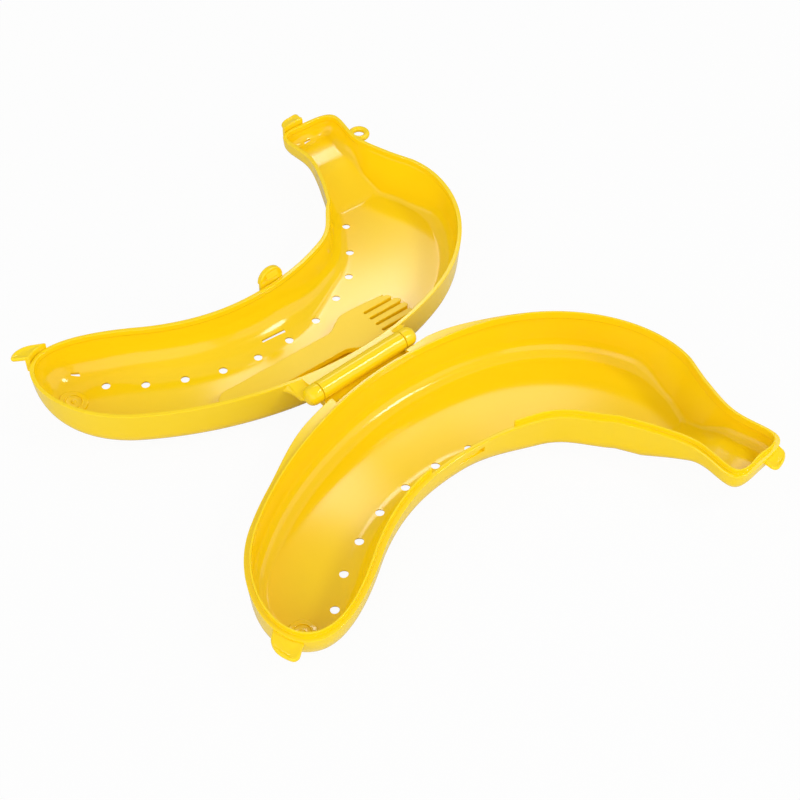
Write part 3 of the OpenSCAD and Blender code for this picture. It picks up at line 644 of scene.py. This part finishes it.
# Pieces
def shell_points(plan, lid):
    """The half shell as a grid of ribs by section points: the floor's outside from the spine to the wall's foot,
    a round foot, the wall, the rim with its rounded edges, and the same way back inside."""
    c, r = plan.shell, plan.ribs()
    e, ease, lean = c.edge_r, 2 * c.edge_r, r["lean"]
    depth = plan.depth(r["place"]) - c.fit_gap / 2

    def inside(drop, slant):
        """Inset of the wall's inner face."""
        return c.wall / np.cos(slant) + np.tan(slant) * drop

    def corners(slant, *points):
        """Corners of the rim as inset and drop, one line for each slant."""
        return np.stack([np.stack(np.broadcast_arrays(x + 0 * slant, z + 0 * slant), -1) for x, z in points], -2)

    def rim_line(slant):
        """The rim from the wall's outside over its top to the wall's inside."""
        low = (inside(c.rim_d, slant), c.rim_d), (inside(c.rim_d + ease, slant), c.rim_d + ease)
        if lid:
            return round_corners(corners(slant, (np.tan(slant) * ease, ease), (0, 0), (c.rim_w, 0),
                                         (c.rim_w, c.rim_d - c.rim_w + c.wall), *low), [e, e, e, e])
        neck = c.rim_d - plan.lip_in + inside(c.rim_d, slant)
        return round_corners(
            corners(slant, (np.tan(slant) * ease, ease), (0, 0), (plan.lip_out, 0), (plan.lip_out, -c.lip_h),
                    (plan.lip_in, -c.lip_h), (plan.lip_in, neck), *low), [e, 0.4 * e, 0.9 * e, 0.9 * e, e, e])

    def plain_rim(count):
        """The tray's rim where its lip is left out, thick down to below the latch pocket."""
        low, slant = c.pocket_d, np.array(c.draft)
        bend = low - c.rim_w + c.wall
        return spread_evenly(round_corners(corners(
            slant, (np.tan(slant) * ease, ease), (0, 0), (c.rim_w, 0), (c.rim_w + np.tan(slant) * bend, bend),
            (inside(low, slant), low), (inside(low + ease, slant), low + ease)), [e, e, e, e]), count)

    top, in_top = rim_line(lean), np.full(len(depth), c.rim_d)
    if not lid:
        part = r["lip"][:, None, None]
        top = top * part + plain_rim(top.shape[1]) * (1 - part)
        in_top = in_top * r["lip"] + c.pocket_d * (1 - r["lip"])
    radius = r["radius"] * depth / c.body_depth
    centre = np.tan(lean) * (depth - radius + radius * np.sin(lean)) + radius * np.cos(lean)

    def foot(off, above):
        """The round foot as inset and drop, from the wall to the floor, all of it below the rim's own form."""
        first = np.arcsin(np.clip((above + ease + e - depth + radius) / (radius - off), np.sin(lean), 1))
        a = first[:, None] + (np.pi / 2 - first)[:, None] * np.linspace(0, 1, FOOT_STEPS)
        return np.stack([centre[:, None] - (radius - off)[:, None] * np.cos(a),
                         (depth - radius)[:, None] + (radius - off)[:, None] * np.sin(a)], -1)

    def between(p, q, n):
        """Points strictly between two columns."""
        t = np.linspace(0, 1, n + 2)[1:-1, None]
        return p[:, None] * (1 - t) + q[:, None] * t

    outer, inner = foot(0, 0), foot(c.wall, in_top)
    middle_out, middle_in = [np.stack([r["reach"], drop], -1) for drop in (depth, depth - c.wall)]
    line = np.concatenate([
        middle_out[:, None], between(middle_out, outer[:, -1], FLOOR_STEPS), outer[:, ::-1],
        between(outer[:, 0], top[:, 0], WALL_STEPS), top, between(top[:, -1], inner[:, 0], WALL_STEPS), inner,
        between(inner[:, -1], middle_in, FLOOR_STEPS), middle_in[:, None]], 1)
    plan_xy = r["base"][:, None] + r["line"][:, None] * (r["reach"][:, None] - line[..., 0])[..., None]
    return raised(plan_xy, plan.rim_z - line[..., 1])


def bar(length, width):
    """Corners of a bar round the origin, as x and y."""
    return np.array([-1, 1, 1, -1]) * length / 2, np.array([-1, -1, 1, 1]) * width / 2


def circle(radius, steps=48):
    """Points round the origin, as x and y."""
    a = np.linspace(0, 2 * np.pi, steps, endpoint=False)
    return radius * np.cos(a), radius * np.sin(a)


def cutter(outline, flare, level, wall):
    """A cutter through a wall whose inside is at a level: straight above it, and wider below by flare for each wall's
    thickness. The outline gives the plan points for a widening."""
    levels = (CUT_WALLS * flare, level - CUT_WALLS * wall), (0.0, level), (0.0, level + CUT_ABOVE)
    return tube("cutter", np.stack([raised(outline(grow), z) for grow, z in levels]))


def gate_rings(plan, inside):
    """The gate's disc, which follows the floor inside the shell: a bevelled edge, a fine raised ring and a pip."""
    v, centre = plan.vent, plan.gate()
    disc = np.array([[-0.5, 0], [0.55, 0], [0.85, -0.45]]) * MM + [0, v.gate_r]
    ring = np.array([[0.85, 0.35], [1.25, 0.15], [1.25, -0.15], [0.85, -0.35]]) * MM + [0, v.gate_ring]
    pip = np.array([[0.85, 0.3 * MM + v.gate_pip], [1.25, v.gate_pip], [1.4, 0.05 * MM]]) * [MM, 1]
    rounded = round_corners(np.concatenate([disc, ring, pip]),
                            np.array([0.2, 0.2, 0.12, 0.1, 0.1, 0.12, 0.12, 0.12]) * MM, 3)
    rings = lathe_rings(rounded, upright(centre))
    near = inside[np.linalg.norm(inside[:, :2] - centre, axis=1) < 1.15 * v.gate_r]

    def cubic(spots):
        """All products of x and y up to the third power, measured from the gate in gate radii."""
        x, y = np.moveaxis((spots[..., :2] - centre) / v.gate_r, -1, 0)
        return np.stack([x**i * y**j for i in range(4) for j in range(4 - i)], -1)

    rings[..., 2] += cubic(rings) @ np.linalg.lstsq(cubic(near), near[:, 2], rcond=None)[0]
    return rings


class CASE_OT_shells(bpy.types.Operator):
    """Builds the tray's and the lid's half shell, with vents, slots, gate and latch pocket"""
    bl_idname = "case.shells"
    bl_label = "Half shells"

    def slots(self, plan):
        """The lid's three slots: the frame each lies in, its length, width and flare."""
        v = plan.vent
        inset = v.slot_inset - plan.half_at(v.slot_at)
        cos, sin = math.cos(v.tip_slot_turn), math.sin(v.tip_slot_turn)
        return [
            (lambda x, y: plan.at_place(v.slot_at, x, y + inset), v.slot_len, v.slot_w, v.slot_flare),
            (lambda x, y: plan.at_tip(x * cos - y * sin - v.tip_slot_in, x * sin + y * cos - v.tip_slot_side),
             v.short_len, v.short_w, v.short_flare),
            (lambda x, y: plan.at_stem(x - v.stem_slot_in, y - v.stem_slot_side),
             v.short_w, v.short_len, v.short_flare),
        ]

    def pocket(self, plan):
        """The cutter for the tray's pocket behind the barb."""
        t, c = plan.tab, plan.shell
        deep = math.tan(c.draft) * (t.barb_from + t.barb_h) + t.barb_hold + c.fit_gap
        middle = (deep - t.barb_h) / 2 - plan.half_at(t.thumb_at)
        low = plan.rim_z - t.barb_from - t.barb_h
        plan_xy = plan.at_place(t.thumb_at, *np.add(bar(t.thumb_w, deep + t.barb_h), [[0], [middle]]))
        return tube("cutter", np.stack([raised(plan_xy, z) for z in (low, low + t.barb_h + c.fit_gap)]))

    def execute(self, context):
        plan = Plan(context.scene)
        material = polished_polypropylene(context.scene.case_looks)
        v, c = plan.vent, plan.shell
        for name, side in (("tray", np.asarray), ("lid", plan.to_lid)):
            lid = name == "lid"
            points = shell_points(plan, lid)
            shell = mesh_object(name + "_shell", side(points), grid_quads(*points.shape[:2], True, False))
            inside = points[:, points.shape[1] // 2:].reshape(-1, 3)

            def level(spot):
                """Height of the shell's inside at a plan point."""
                return inside[np.argmin(np.sum((inside[:, :2] - spot) ** 2, 1)), 2]

            def hole(spot, radius, flare, at):
                """A round cutter at a plan point."""
                return cutter(lambda grow: side(spot + np.column_stack(circle(radius + grow))), flare, at, c.wall)

            cutters = [hole(p, v.radius, v.flare, level(p)) for p in plan.vents()]
            well_top = c.body_depth - c.tip_depth + v.gate_d
            cutters.append(hole(plan.gate(), v.gate_well, 0.0, well_top - CUT_ABOVE))
            if lid:
                for place, length, width, flare in self.slots(plan):
                    cutters.append(cutter(lambda grow: side(place(*bar(length + 2 * grow, width + 2 * grow))), flare,
                                          level(place(0.0, 0.0)), c.wall))
            else:
                cutters.append(self.pocket(plan))
            cut(shell, cutters)
            finish_piece(shell, name, material, sharp=35)
            finish_piece(tube(name + "_gate", side(gate_rings(plan, inside))), name, material)
        return {"FINISHED"}


class CASE_OT_hinge(bpy.types.Operator):
    """Builds the tray's barrel and flanges and the lid's two knuckles with their webs"""
    bl_idname = "case.hinge"
    bl_label = "Hinge"

    def execute(self, context):
        plan = Plan(context.scene)
        h, c = plan.hinge, plan.shell
        material = polished_polypropylene(context.scene.case_looks)
        half = h.length / 2
        start = half + c.fit_gap
        far = start + h.knuckle
        flange_y = plan.hinge_y - h.radius - 2 * c.fit_gap
        low, top = plan.rim_z - h.web_t, plan.rim_z + SEAM
        sunk, reach = 0.8 * c.wall, far + 1.2 * h.flange_run
        ends = (-1, "tip"), (1, "stem")

        def turned(name, body, middle, way, first, last, end_r, steps):
            """A turned piece on the hinge's axis between two distances from a place on it."""
            line = np.array([[first, POLE], [first, h.radius], [last, h.radius], [last, POLE]])
            rings = lathe_rings(
                round_corners(line, [EDGE, end_r], steps),
                lambda t, u, v: np.stack([middle + way * t, plan.hinge_y + u, c.body_depth + v], -1))
            finish_piece(tube(name, rings), body, material)

        turned("tray_barrel", "tray", h.middle, 1, -half, half, EDGE, 5)
        for way, end in ends:
            turned("lid_knuckle_" + end, "lid", h.middle + way * start, way, 0.0, h.knuckle, 0.9 * h.radius, 8)

        s = np.linspace(h.middle - reach, h.middle + reach, 200)
        hidden = plan.spine(s) + (plan.half_width(s) - sunk)[:, None] * plan.across(s)

        def from_wall(outer):
            """Points inside the wall beside the points of a plate's outer line."""
            return np.column_stack([outer[:, 0], np.interp(outer[:, 0], hidden[:, 0], hidden[:, 1])])

        def plate(name, body, line, drop=0.0, edge=EDGE, fall=0.0):
            """A plate from inside the wall to a plan line, mirrored for the lid."""
            side = plan.to_lid if body == "lid" else np.asarray
            made = edge_plate(name, side(from_wall(line)), side(line), low - drop, top - drop, edge, fall)
            finish_piece(made, body, material)

        # The lid's straight flange between the knuckles, and a lower, hollow-sided web under each knuckle
        x = np.linspace(h.middle - start - 0.5 * MM, h.middle + start + 0.5 * MM, 40)
        plate("lid_flange", "lid", np.column_stack([x, np.full(len(x), flange_y)]))
        q = np.linspace(0, 1, 16)
        half_x = np.r_[start, far - h.radius / 2, far + h.web_flare * (1 - np.sqrt(1 - q**2))]
        half_y = np.r_[plan.hinge_y, plan.hinge_y, (1 - q) * (plan.hinge_y - 0.8 * h.radius)]
        for way, end in ends:
            line = np.column_stack([h.middle + way * half_x, half_y])
            line[-len(q):, 1] += q * (from_wall(line)[-len(q):, 1] + sunk)
            plate("lid_web_" + end, "lid", line, 0.0, 0.6 * MM, h.web_fall)

        # The tray's flanges beside the knuckles, which run out along the rim, and a lower web that carries the barrel
        s = np.linspace(h.middle - far - h.flange_run, h.middle + far + h.flange_run, 160)
        taper = 1 - smooth((np.abs(s - h.middle) - far) / h.flange_run)
        outer = plan.spine(s) + (plan.half_width(s) + h.flange_w * taper)[:, None] * plan.across(s)
        outer[:, 1] = np.minimum(outer[:, 1], flange_y)
        under = half - 1.5 * MM
        for way, end in ends:
            plate("tray_flange_" + end, "tray", outer[way * (outer[:, 0] - h.middle) > under])
        x = np.linspace(h.middle - half, h.middle + half, 30)
        plate("tray_web", "tray", np.column_stack([x, np.full(len(x), plan.hinge_y)]), h.web_drop)
        return {"FINISHED"}


class CASE_OT_latches(bpy.types.Operator):
    """Builds the thumb tabs of the tray and the three latches of the lid"""
    bl_idname = "case.latches"
    bl_label = "Tabs and latches"

    def tab_outline(self, plan, side, width, reach, rim, corner, seat, gap):
        """An end tab from above, in the end's frame: the front bows back from the split to the far side as a quarter
        of a superellipse, its corner at the split is a quarter circle, and its back follows the rim at a gap."""
        t = plan.tab
        # The points lie closer together at the split, and every fourth one has its like on the back
        u = np.linspace(0, 1, 40) ** 1.5
        y = side * (t.split / 2 + u * width)
        back = np.interp(y, rim[:, 1], rim[:, 0])
        x = back[-1] + seat + (reach - back[-1] - seat) * (1 - u**t.power) ** (1 / t.power)
        x -= corner - np.sqrt(corner**2 - np.maximum(corner - u * width, 0) ** 2)
        return np.r_[x, back[::-4] + gap], np.r_[y, y[::-4]]

    def end_tabs(self, plan, material, end, place, out, tab_w, latch_w, reach):
        """The tray's tab, the lid's tab beside it and the tongue that carries the lid's tab, at one end."""
        t, c, rim = plan.tab, plan.shell, plan.rim()
        origin = place(0.0, 0.0)
        local = np.column_stack([(rim - origin) @ out, (rim - origin) @ (place(0.0, 1.0) - origin)])
        near = local[local[:, 0] > -END_LEN]
        near = near[np.argsort(near[:, 1])]
        high = plan.rim_z + t.rise
        pads = [
            ("tray_tab_", "tray", np.asarray, plan.rim_z - t.drop,
             (1, tab_w, reach, near, t.tray_corner, 0.3 * MM, -0.5 * c.wall)),
            ("lid_thumb_", "lid", plan.to_lid, high,
             (-1, latch_w, reach, near, t.lid_corner, c.fit_gap + t.thick, c.fit_gap)),
        ]
        for name, body, side, top, form in pads:
            outline = side(place(*self.tab_outline(plan, *form)))
            pad = tube(name + end, pad_rings(outline, top - t.thick, top, PAD_EDGE * t.thick, t.dish))
            finish_piece(pad, body, material)

        y = -(t.split / 2 + np.linspace(0, 1, 16) * latch_w)
        face = np.interp(y, near[:, 1], near[:, 0]) + c.fit_gap
        low, seat, back = plan.rim_z - t.root, plan.rim_z - c.lip_h / 2, -1.2 * MM
        high -= 0.2 * MM
        loop = round_loop([(back, low), (t.thick, low), (t.thick, high), (0, high), (0, seat), (back, seat)],
                          np.array([0.2, 0.5, 0.5, 0.4, 0.1, 0.1]) * MM)
        xs = face[:, None] + loop[:, 0]
        rings = raised(plan.to_lid(place(xs, np.repeat(y[:, None], len(loop), 1))), loop[:, 1])
        finish_piece(tube("lid_tongue_" + end, rings), "lid", material)

    def middle_latch(self, plan, material):
        """The middle latch with its root, bead and barb, drawn with u along the rim and z up."""
        t, c, half = plan.tab, plan.shell, plan.half_at(plan.tab.thumb_at)
        face = half + c.fit_gap + t.thumb_w**2 / (8 * (plan.bow.bow_r - half))
        wide = t.thumb_w / 2
        crown, low = plan.rim_z + t.thumb_rise - wide, plan.rim_z - t.thumb_root

        def on_lid(u, y, z):
            """Points on the lid, from the distance along the rim, the distance across it and the height."""
            return raised(plan.to_lid(plan.at_place(t.thumb_at, u, y)), z)

        q = np.linspace(0, np.pi, 40)
        outline = np.column_stack([np.r_[wide * np.cos(q), -wide, wide], np.r_[crown + wide * np.sin(q), low, low]])
        disc = pad_rings(outline, -t.thick, 0.0, LATCH_EDGE * t.thick)
        finish_piece(tube("lid_latch", on_lid(disc[..., 0], disc[..., 2] - face, disc[..., 1])), "lid", material)

        x, y = bar(t.thumb_w, face - half + c.wall / 2)
        foot = plan.to_lid(plan.at_place(t.thumb_at, x, y - (face + half - c.wall / 2) / 2))
        finish_piece(slab("lid_latch_root", foot, low, plan.rim_z - c.lip_h / 2, 0.3 * MM), "lid", material)

        a = np.linspace(0, 2 * np.pi, 24, endpoint=False)
        reach = wide - t.bead_r + t.bead_r * np.cos(a)
        ring_u, ring_z = np.cos(q)[:, None] * reach, crown + np.sin(q)[:, None] * reach
        ring_y = np.broadcast_to(-face - t.thick + 0.9 * t.bead_r * np.sin(a), ring_u.shape)
        finish_piece(tube("lid_latch_bead", on_lid(ring_u, ring_y, ring_z)), "lid", material)

        foot_z, sunk = plan.rim_z + t.barb_from, -face - 0.3 * MM
        wedge = round_loop([(sunk, foot_z), (-face + t.barb_out, foot_z), (-face, foot_z + t.barb_h),
                            (sunk, foot_z + t.barb_h)], np.array([0.1, 0.2, 0.3, 0.1]) * MM, 3)
        u, v = np.meshgrid(np.linspace(-wide / 2, wide / 2, 6), wedge[:, 0], indexing="ij")
        finish_piece(tube("lid_latch_barb", on_lid(u, v, wedge[:, 1])), "lid", material)

    def execute(self, context):
        plan = Plan(context.scene)
        t, tip, stem = plan.tab, -plan.tip_len, plan.stem_end
        material = polished_polypropylene(context.scene.case_looks)
        self.end_tabs(plan, material, "tip", plan.at_tip, -plan.along(tip), t.tip_w, t.tip_latch_w, t.tip_reach)
        self.end_tabs(plan, material, "stem", plan.at_stem, plan.along(stem), t.stem_w, t.stem_w, t.stem_reach)
        self.middle_latch(plan, material)
        return {"FINISHED"}


class CASE_OT_ring(bpy.types.Operator):
    """Builds the hanging ring on the lid's neck"""
    bl_idname = "case.ring"
    bl_label = "Hanging ring"

    def execute(self, context):
        plan = Plan(context.scene)
        h, c = plan.hinge, plan.shell
        place, neck, tube_r = RING_AT * plan.stem_end, 0.6 * MM, h.ring_band / 2
        a = np.linspace(0, 2 * np.pi, 72, endpoint=False)[:, None]
        b = np.linspace(0, 2 * np.pi, 32, endpoint=False)
        reach = h.ring_eye + tube_r + tube_r * np.cos(b)
        x, y = reach * np.cos(a), np.maximum(reach * np.sin(a), -h.ring_eye - neck)
        seat = plan.half_at(place) + c.fit_gap + neck + h.ring_eye
        points = raised(plan.to_lid(plan.at_place(place, x, y + seat)), plan.rim_z - c.lip_h + tube_r * np.sin(b))
        ring = mesh_object("hanging_ring_band", points, grid_quads(len(a), len(b), True, True))
        finish_piece(ring, "lid", polished_polypropylene(context.scene.case_looks), "hanging_ring")
        return {"FINISHED"}


class CASE_OT_fork(bpy.types.Operator):
    """Builds the fork and the two posts in the lid that carry it"""
    bl_idname = "case.fork"
    bl_label = "Fork and posts"

    def outline(self, f):
        """The fork from above, round its edge: the handle's round end, the swell to the head, the tines with round
        tips, and the slots with round roots."""
        end, neck, tip = -f.length / 2, f.length / 2 - f.head_len, f.length / 2
        head, front = neck + f.swell, tip - f.crown
        tip_round = 1.6 * MM

        def half(x):
            """Half the fork's width: the swell, then the head's taper."""
            swell = f.handle_w / 2 + (f.head_w - f.handle_w) / 2 * smooth((x - neck) / (head - neck))
            taper = f.head_w / 2 - (f.head_w - f.tips_w) / 2 * ((x - head) / (tip - head)) ** 2
            return np.where(x <= head, swell, taper)

        q = np.linspace(0, np.pi / 2, 20)
        r = f.handle_w / 2
        x = np.linspace(neck, front, 40)
        side = np.concatenate([np.column_stack([end + r - r * np.cos(q), r * np.sin(q)]),
                               np.column_stack([x, half(x)])])
        pitch, edge = (f.tips_w + f.tine_gap) / f.tines, float(half(front))
        a = np.linspace(np.pi / 2, 3 * np.pi / 2, 9)
        row = []
        for i in range(f.tines):
            high, low = [(f.tines / 2 - k) * pitch - f.tine_gap / 2 * g for k, g in ((i, 1), (i + 1, -1))]
            high, low = min(high, edge), max(low, -edge)
            y = np.linspace(high, low, 13)
            bulge = np.maximum(1 - ((y - (high + low) / 2) / ((high - low) / 2)) ** 2, 0)
            x = tip - f.crown * (y / edge) ** 2 - tip_round * (1 - np.sqrt(bulge))
            row.append(np.column_stack([x, y]))
            if i < f.tines - 1:
                middle = (f.tines / 2 - i - 1) * pitch
                root = tip - f.tine_len
                row.append(np.column_stack([root + f.tine_gap / 2 * np.cos(a), middle + f.tine_gap / 2 * np.sin(a)]))
        return np.concatenate([side] + row + [side[:0:-1] * [1, -1]])

    def execute(self, context):
        plan = Plan(context.scene)
        f, c, looks = plan.fork, plan.shell, context.scene.case_looks
        cos, sin = math.cos(f.turned), math.sin(f.turned)

        def place(points):
            """Points on the lid from the fork's own frame."""
            return plan.to_lid(np.asarray(points) @ np.array([[cos, sin], [-sin, cos]]) + [f.x, f.y])

        top = c.wall + f.rise
        low = top + 0.05 * MM
        fork = slab("fork_blade", place(self.outline(f)), low, low + f.thick, f.edge_r)
        finish_piece(fork, "fork", satin_polypropylene(looks), "fork")
        ends = {"tip": -f.length / 2 + f.post_inset, "stem": f.length / 2 - f.head_len - f.post_inset}
        profile = np.array([[c.wall - 0.5 * MM, f.post_r + 0.5 * MM], [c.wall, f.post_r + 0.4 * MM],
                            [c.wall + 0.4 * MM, f.post_r], [top, f.post_r], [top, 0.1 * MM]])
        for end, x in ends.items():
            rings = lathe_rings(profile, upright(place([[x, 0.0]])[0]), steps=40)
            finish_piece(tube("lid_post_" + end, rings), "lid", polished_polypropylene(looks))
        return {"FINISHED"}


# Stage
def ray_share(tree, to_camera, to_gloss):
    """A node that gives one share to camera rays, another to reflections and to rays through clear pieces, and none to
    the rest."""
    path = add_node(tree, "ShaderNodeLightPath")
    clear = add_node(tree, "ShaderNodeMath", [("operation", "MAXIMUM")],
                     [(0, path, "Is Glossy Ray"), (1, path, "Is Transmission Ray")])
    part = add_node(tree, "ShaderNodeMath", [("operation", "MULTIPLY"), (1, to_gloss)], [(0, clear, 0)])
    return add_node(tree, "ShaderNodeMath", [("operation", "MULTIPLY_ADD"), (1, to_camera)],
                    [(0, path, "Is Camera Ray"), (2, part, 0)])


def studio_paper(to_camera, to_gloss):
    """Seamless studio paper: nearly white to the camera, paler in reflections and through clear pieces, and everywhere
    with a share of its own shading, which keeps the object's shadow."""
    made, tree = new_material("Studio paper")
    paper = add_node(tree, "ShaderNodeBsdfDiffuse", [("Color", linear("#DADAD8"))])
    glow = add_node(tree, "ShaderNodeEmission", [("Color", linear("#FFFFFF")), ("Strength", 1.0)])
    mix = add_node(tree, "ShaderNodeMixShader", [],
                   [(0, ray_share(tree, to_camera, to_gloss), 0), (1, paper, 0), (2, glow, 0)])
    add_node(tree, "ShaderNodeOutputMaterial", [], [("Surface", mix, "Shader")])
    return made


def softbox(name, target, azimuth, elevation, distance, wide, tall, strength, roll=0.0):
    """A rectangular soft light that faces the target from an azimuth, from +Y towards +X, and an elevation, and is
    rolled about its own axis."""
    a, e = math.radians(azimuth), math.radians(elevation)
    way = np.array([math.sin(a) * math.cos(e), math.cos(a) * math.cos(e), math.sin(e)])
    lamp = bpy.data.lights.new(name, "AREA")
    lamp.shape, lamp.size, lamp.size_y, lamp.energy = "RECTANGLE", wide, tall, strength
    obj = bpy.data.objects.new(name, lamp)
    obj.location = np.asarray(target) + distance * way
    obj.rotation_euler = (math.pi / 2 - e, 0, math.pi - a)
    obj.rotation_euler.rotate_axis("Z", math.radians(roll))
    bpy.context.scene.collection.objects.link(obj)


class CASE_OT_stage(bpy.types.Operator):
    """Sets the white floor, the soft lights, the world and the camera"""
    bl_idname = "case.stage"
    bl_label = "Stage"

    def execute(self, context):
        scene = context.scene
        plan = Plan(scene)
        wide = 6.0
        corner = np.array([[-wide, -wide, 0], [wide, -wide, 0], [wide, wide, 0], [-wide, wide, 0]])
        floor = mesh_object("floor", corner - [0, 0, 0.05 * MM], [[0, 1, 2, 3]])
        floor.data.materials.append(studio_paper(to_camera=0.95, to_gloss=0.1))

        # Broad lights that shade the case, then small ones that its floors and walls mirror to the camera
        middle, shoulder, stem = (0.0, plan.hinge_y, 0.02), (0.045, 0.085, 0.0), (0.08, -0.09, 0.01)
        softbox("softbox_top", middle, 350, 70, 1.4, 2.0, 1.6, 2.0)
        softbox("softbox_fill", middle, 225, 26, 1.5, 2.2, 1.4, 12.5)
        softbox("softbox_left", middle, 285, 35, 1.5, 2.0, 1.0, 5)
        softbox("softbox_right", middle, 135, 22, 1.5, 2.0, 1.0, 5.5)
        softbox("softbox_back_left", shoulder, 38.2, 46.0, 2.5, 0.26, 0.32, 1.9)
        softbox("softbox_back_right", shoulder, 47.0, 46.0, 2.5, 0.5, 0.32, 1.4, roll=-20)
        softbox("softbox_back_stem", stem, 61.0, 48.0, 2.5, 0.3, 0.3, 0.8)
        softbox("softbox_front", middle, 139, 47, 1.2, 0.2, 0.2, 2.6)

        # A dim surround that is white to the camera
        world = bpy.data.worlds.new("Studio surround")
        world.use_nodes = True
        tree = world.node_tree
        back = tree.nodes["Background"]
        back.inputs["Color"].default_value = linear("#FFFFFF")
        level = add_node(tree, "ShaderNodeMapRange", [("To Min", 0.42), ("To Max", 0.97)],
                         [("Value", ray_share(tree, to_camera=1.0, to_gloss=0.1), 0)])
        tree.links.new(level.outputs["Result"], back.inputs["Strength"])
        scene.world = world

        lens = bpy.data.cameras.new("camera")
        lens.lens, lens.sensor_width = 69.4, 36.0
        camera = bpy.data.objects.new("camera", lens)
        camera.location = (-0.2746, -0.3013, 0.4695)
        camera.rotation_euler = (math.radians(42.67), 0, math.radians(-41.16))
        scene.collection.objects.link(camera)
        scene.camera = camera
        scene.view_settings.view_transform = "Standard"
        return {"FINISHED"}


class CASE_PT_panel(bpy.types.Panel):
    """Settings of the case and one button for each group of pieces"""
    bl_label = "Hard carrying case"
    bl_idname = "CASE_PT_panel"
    bl_space_type = "VIEW_3D"
    bl_region_type = "UI"
    bl_category = "Case"

    def draw(self, context):
        for key, group in GROUPS.items():
            box = self.layout.box()
            box.label(text=group.__doc__)
            for name in group.__annotations__:
                box.prop(getattr(context.scene, key), name)
        for step in STEPS:
            self.layout.operator(step.bl_idname)


STEPS = [CASE_OT_shells, CASE_OT_hinge, CASE_OT_latches, CASE_OT_ring, CASE_OT_fork, CASE_OT_stage]
CLASSES = [*GROUPS.values(), *STEPS, CASE_PT_panel]


def register():
    """Registers the classes and hangs the settings on the scene."""
    for kind in CLASSES:
        bpy.utils.register_class(kind)
    for key, group in GROUPS.items():
        setattr(bpy.types.Scene, key, bpy.props.PointerProperty(type=group))


def unregister():
    """Takes the settings and the classes away again."""
    for key in GROUPS:
        delattr(bpy.types.Scene, key)
    for kind in reversed(CLASSES):
        bpy.utils.unregister_class(kind)


def main():
    """Builds the object and its stage."""
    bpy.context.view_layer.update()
    register()
    bpy.ops.case.shells()
    bpy.ops.case.hinge()
    bpy.ops.case.latches()
    bpy.ops.case.ring()
    bpy.ops.case.fork()
    bpy.ops.case.stage()


if __name__ == "__main__":
    main()
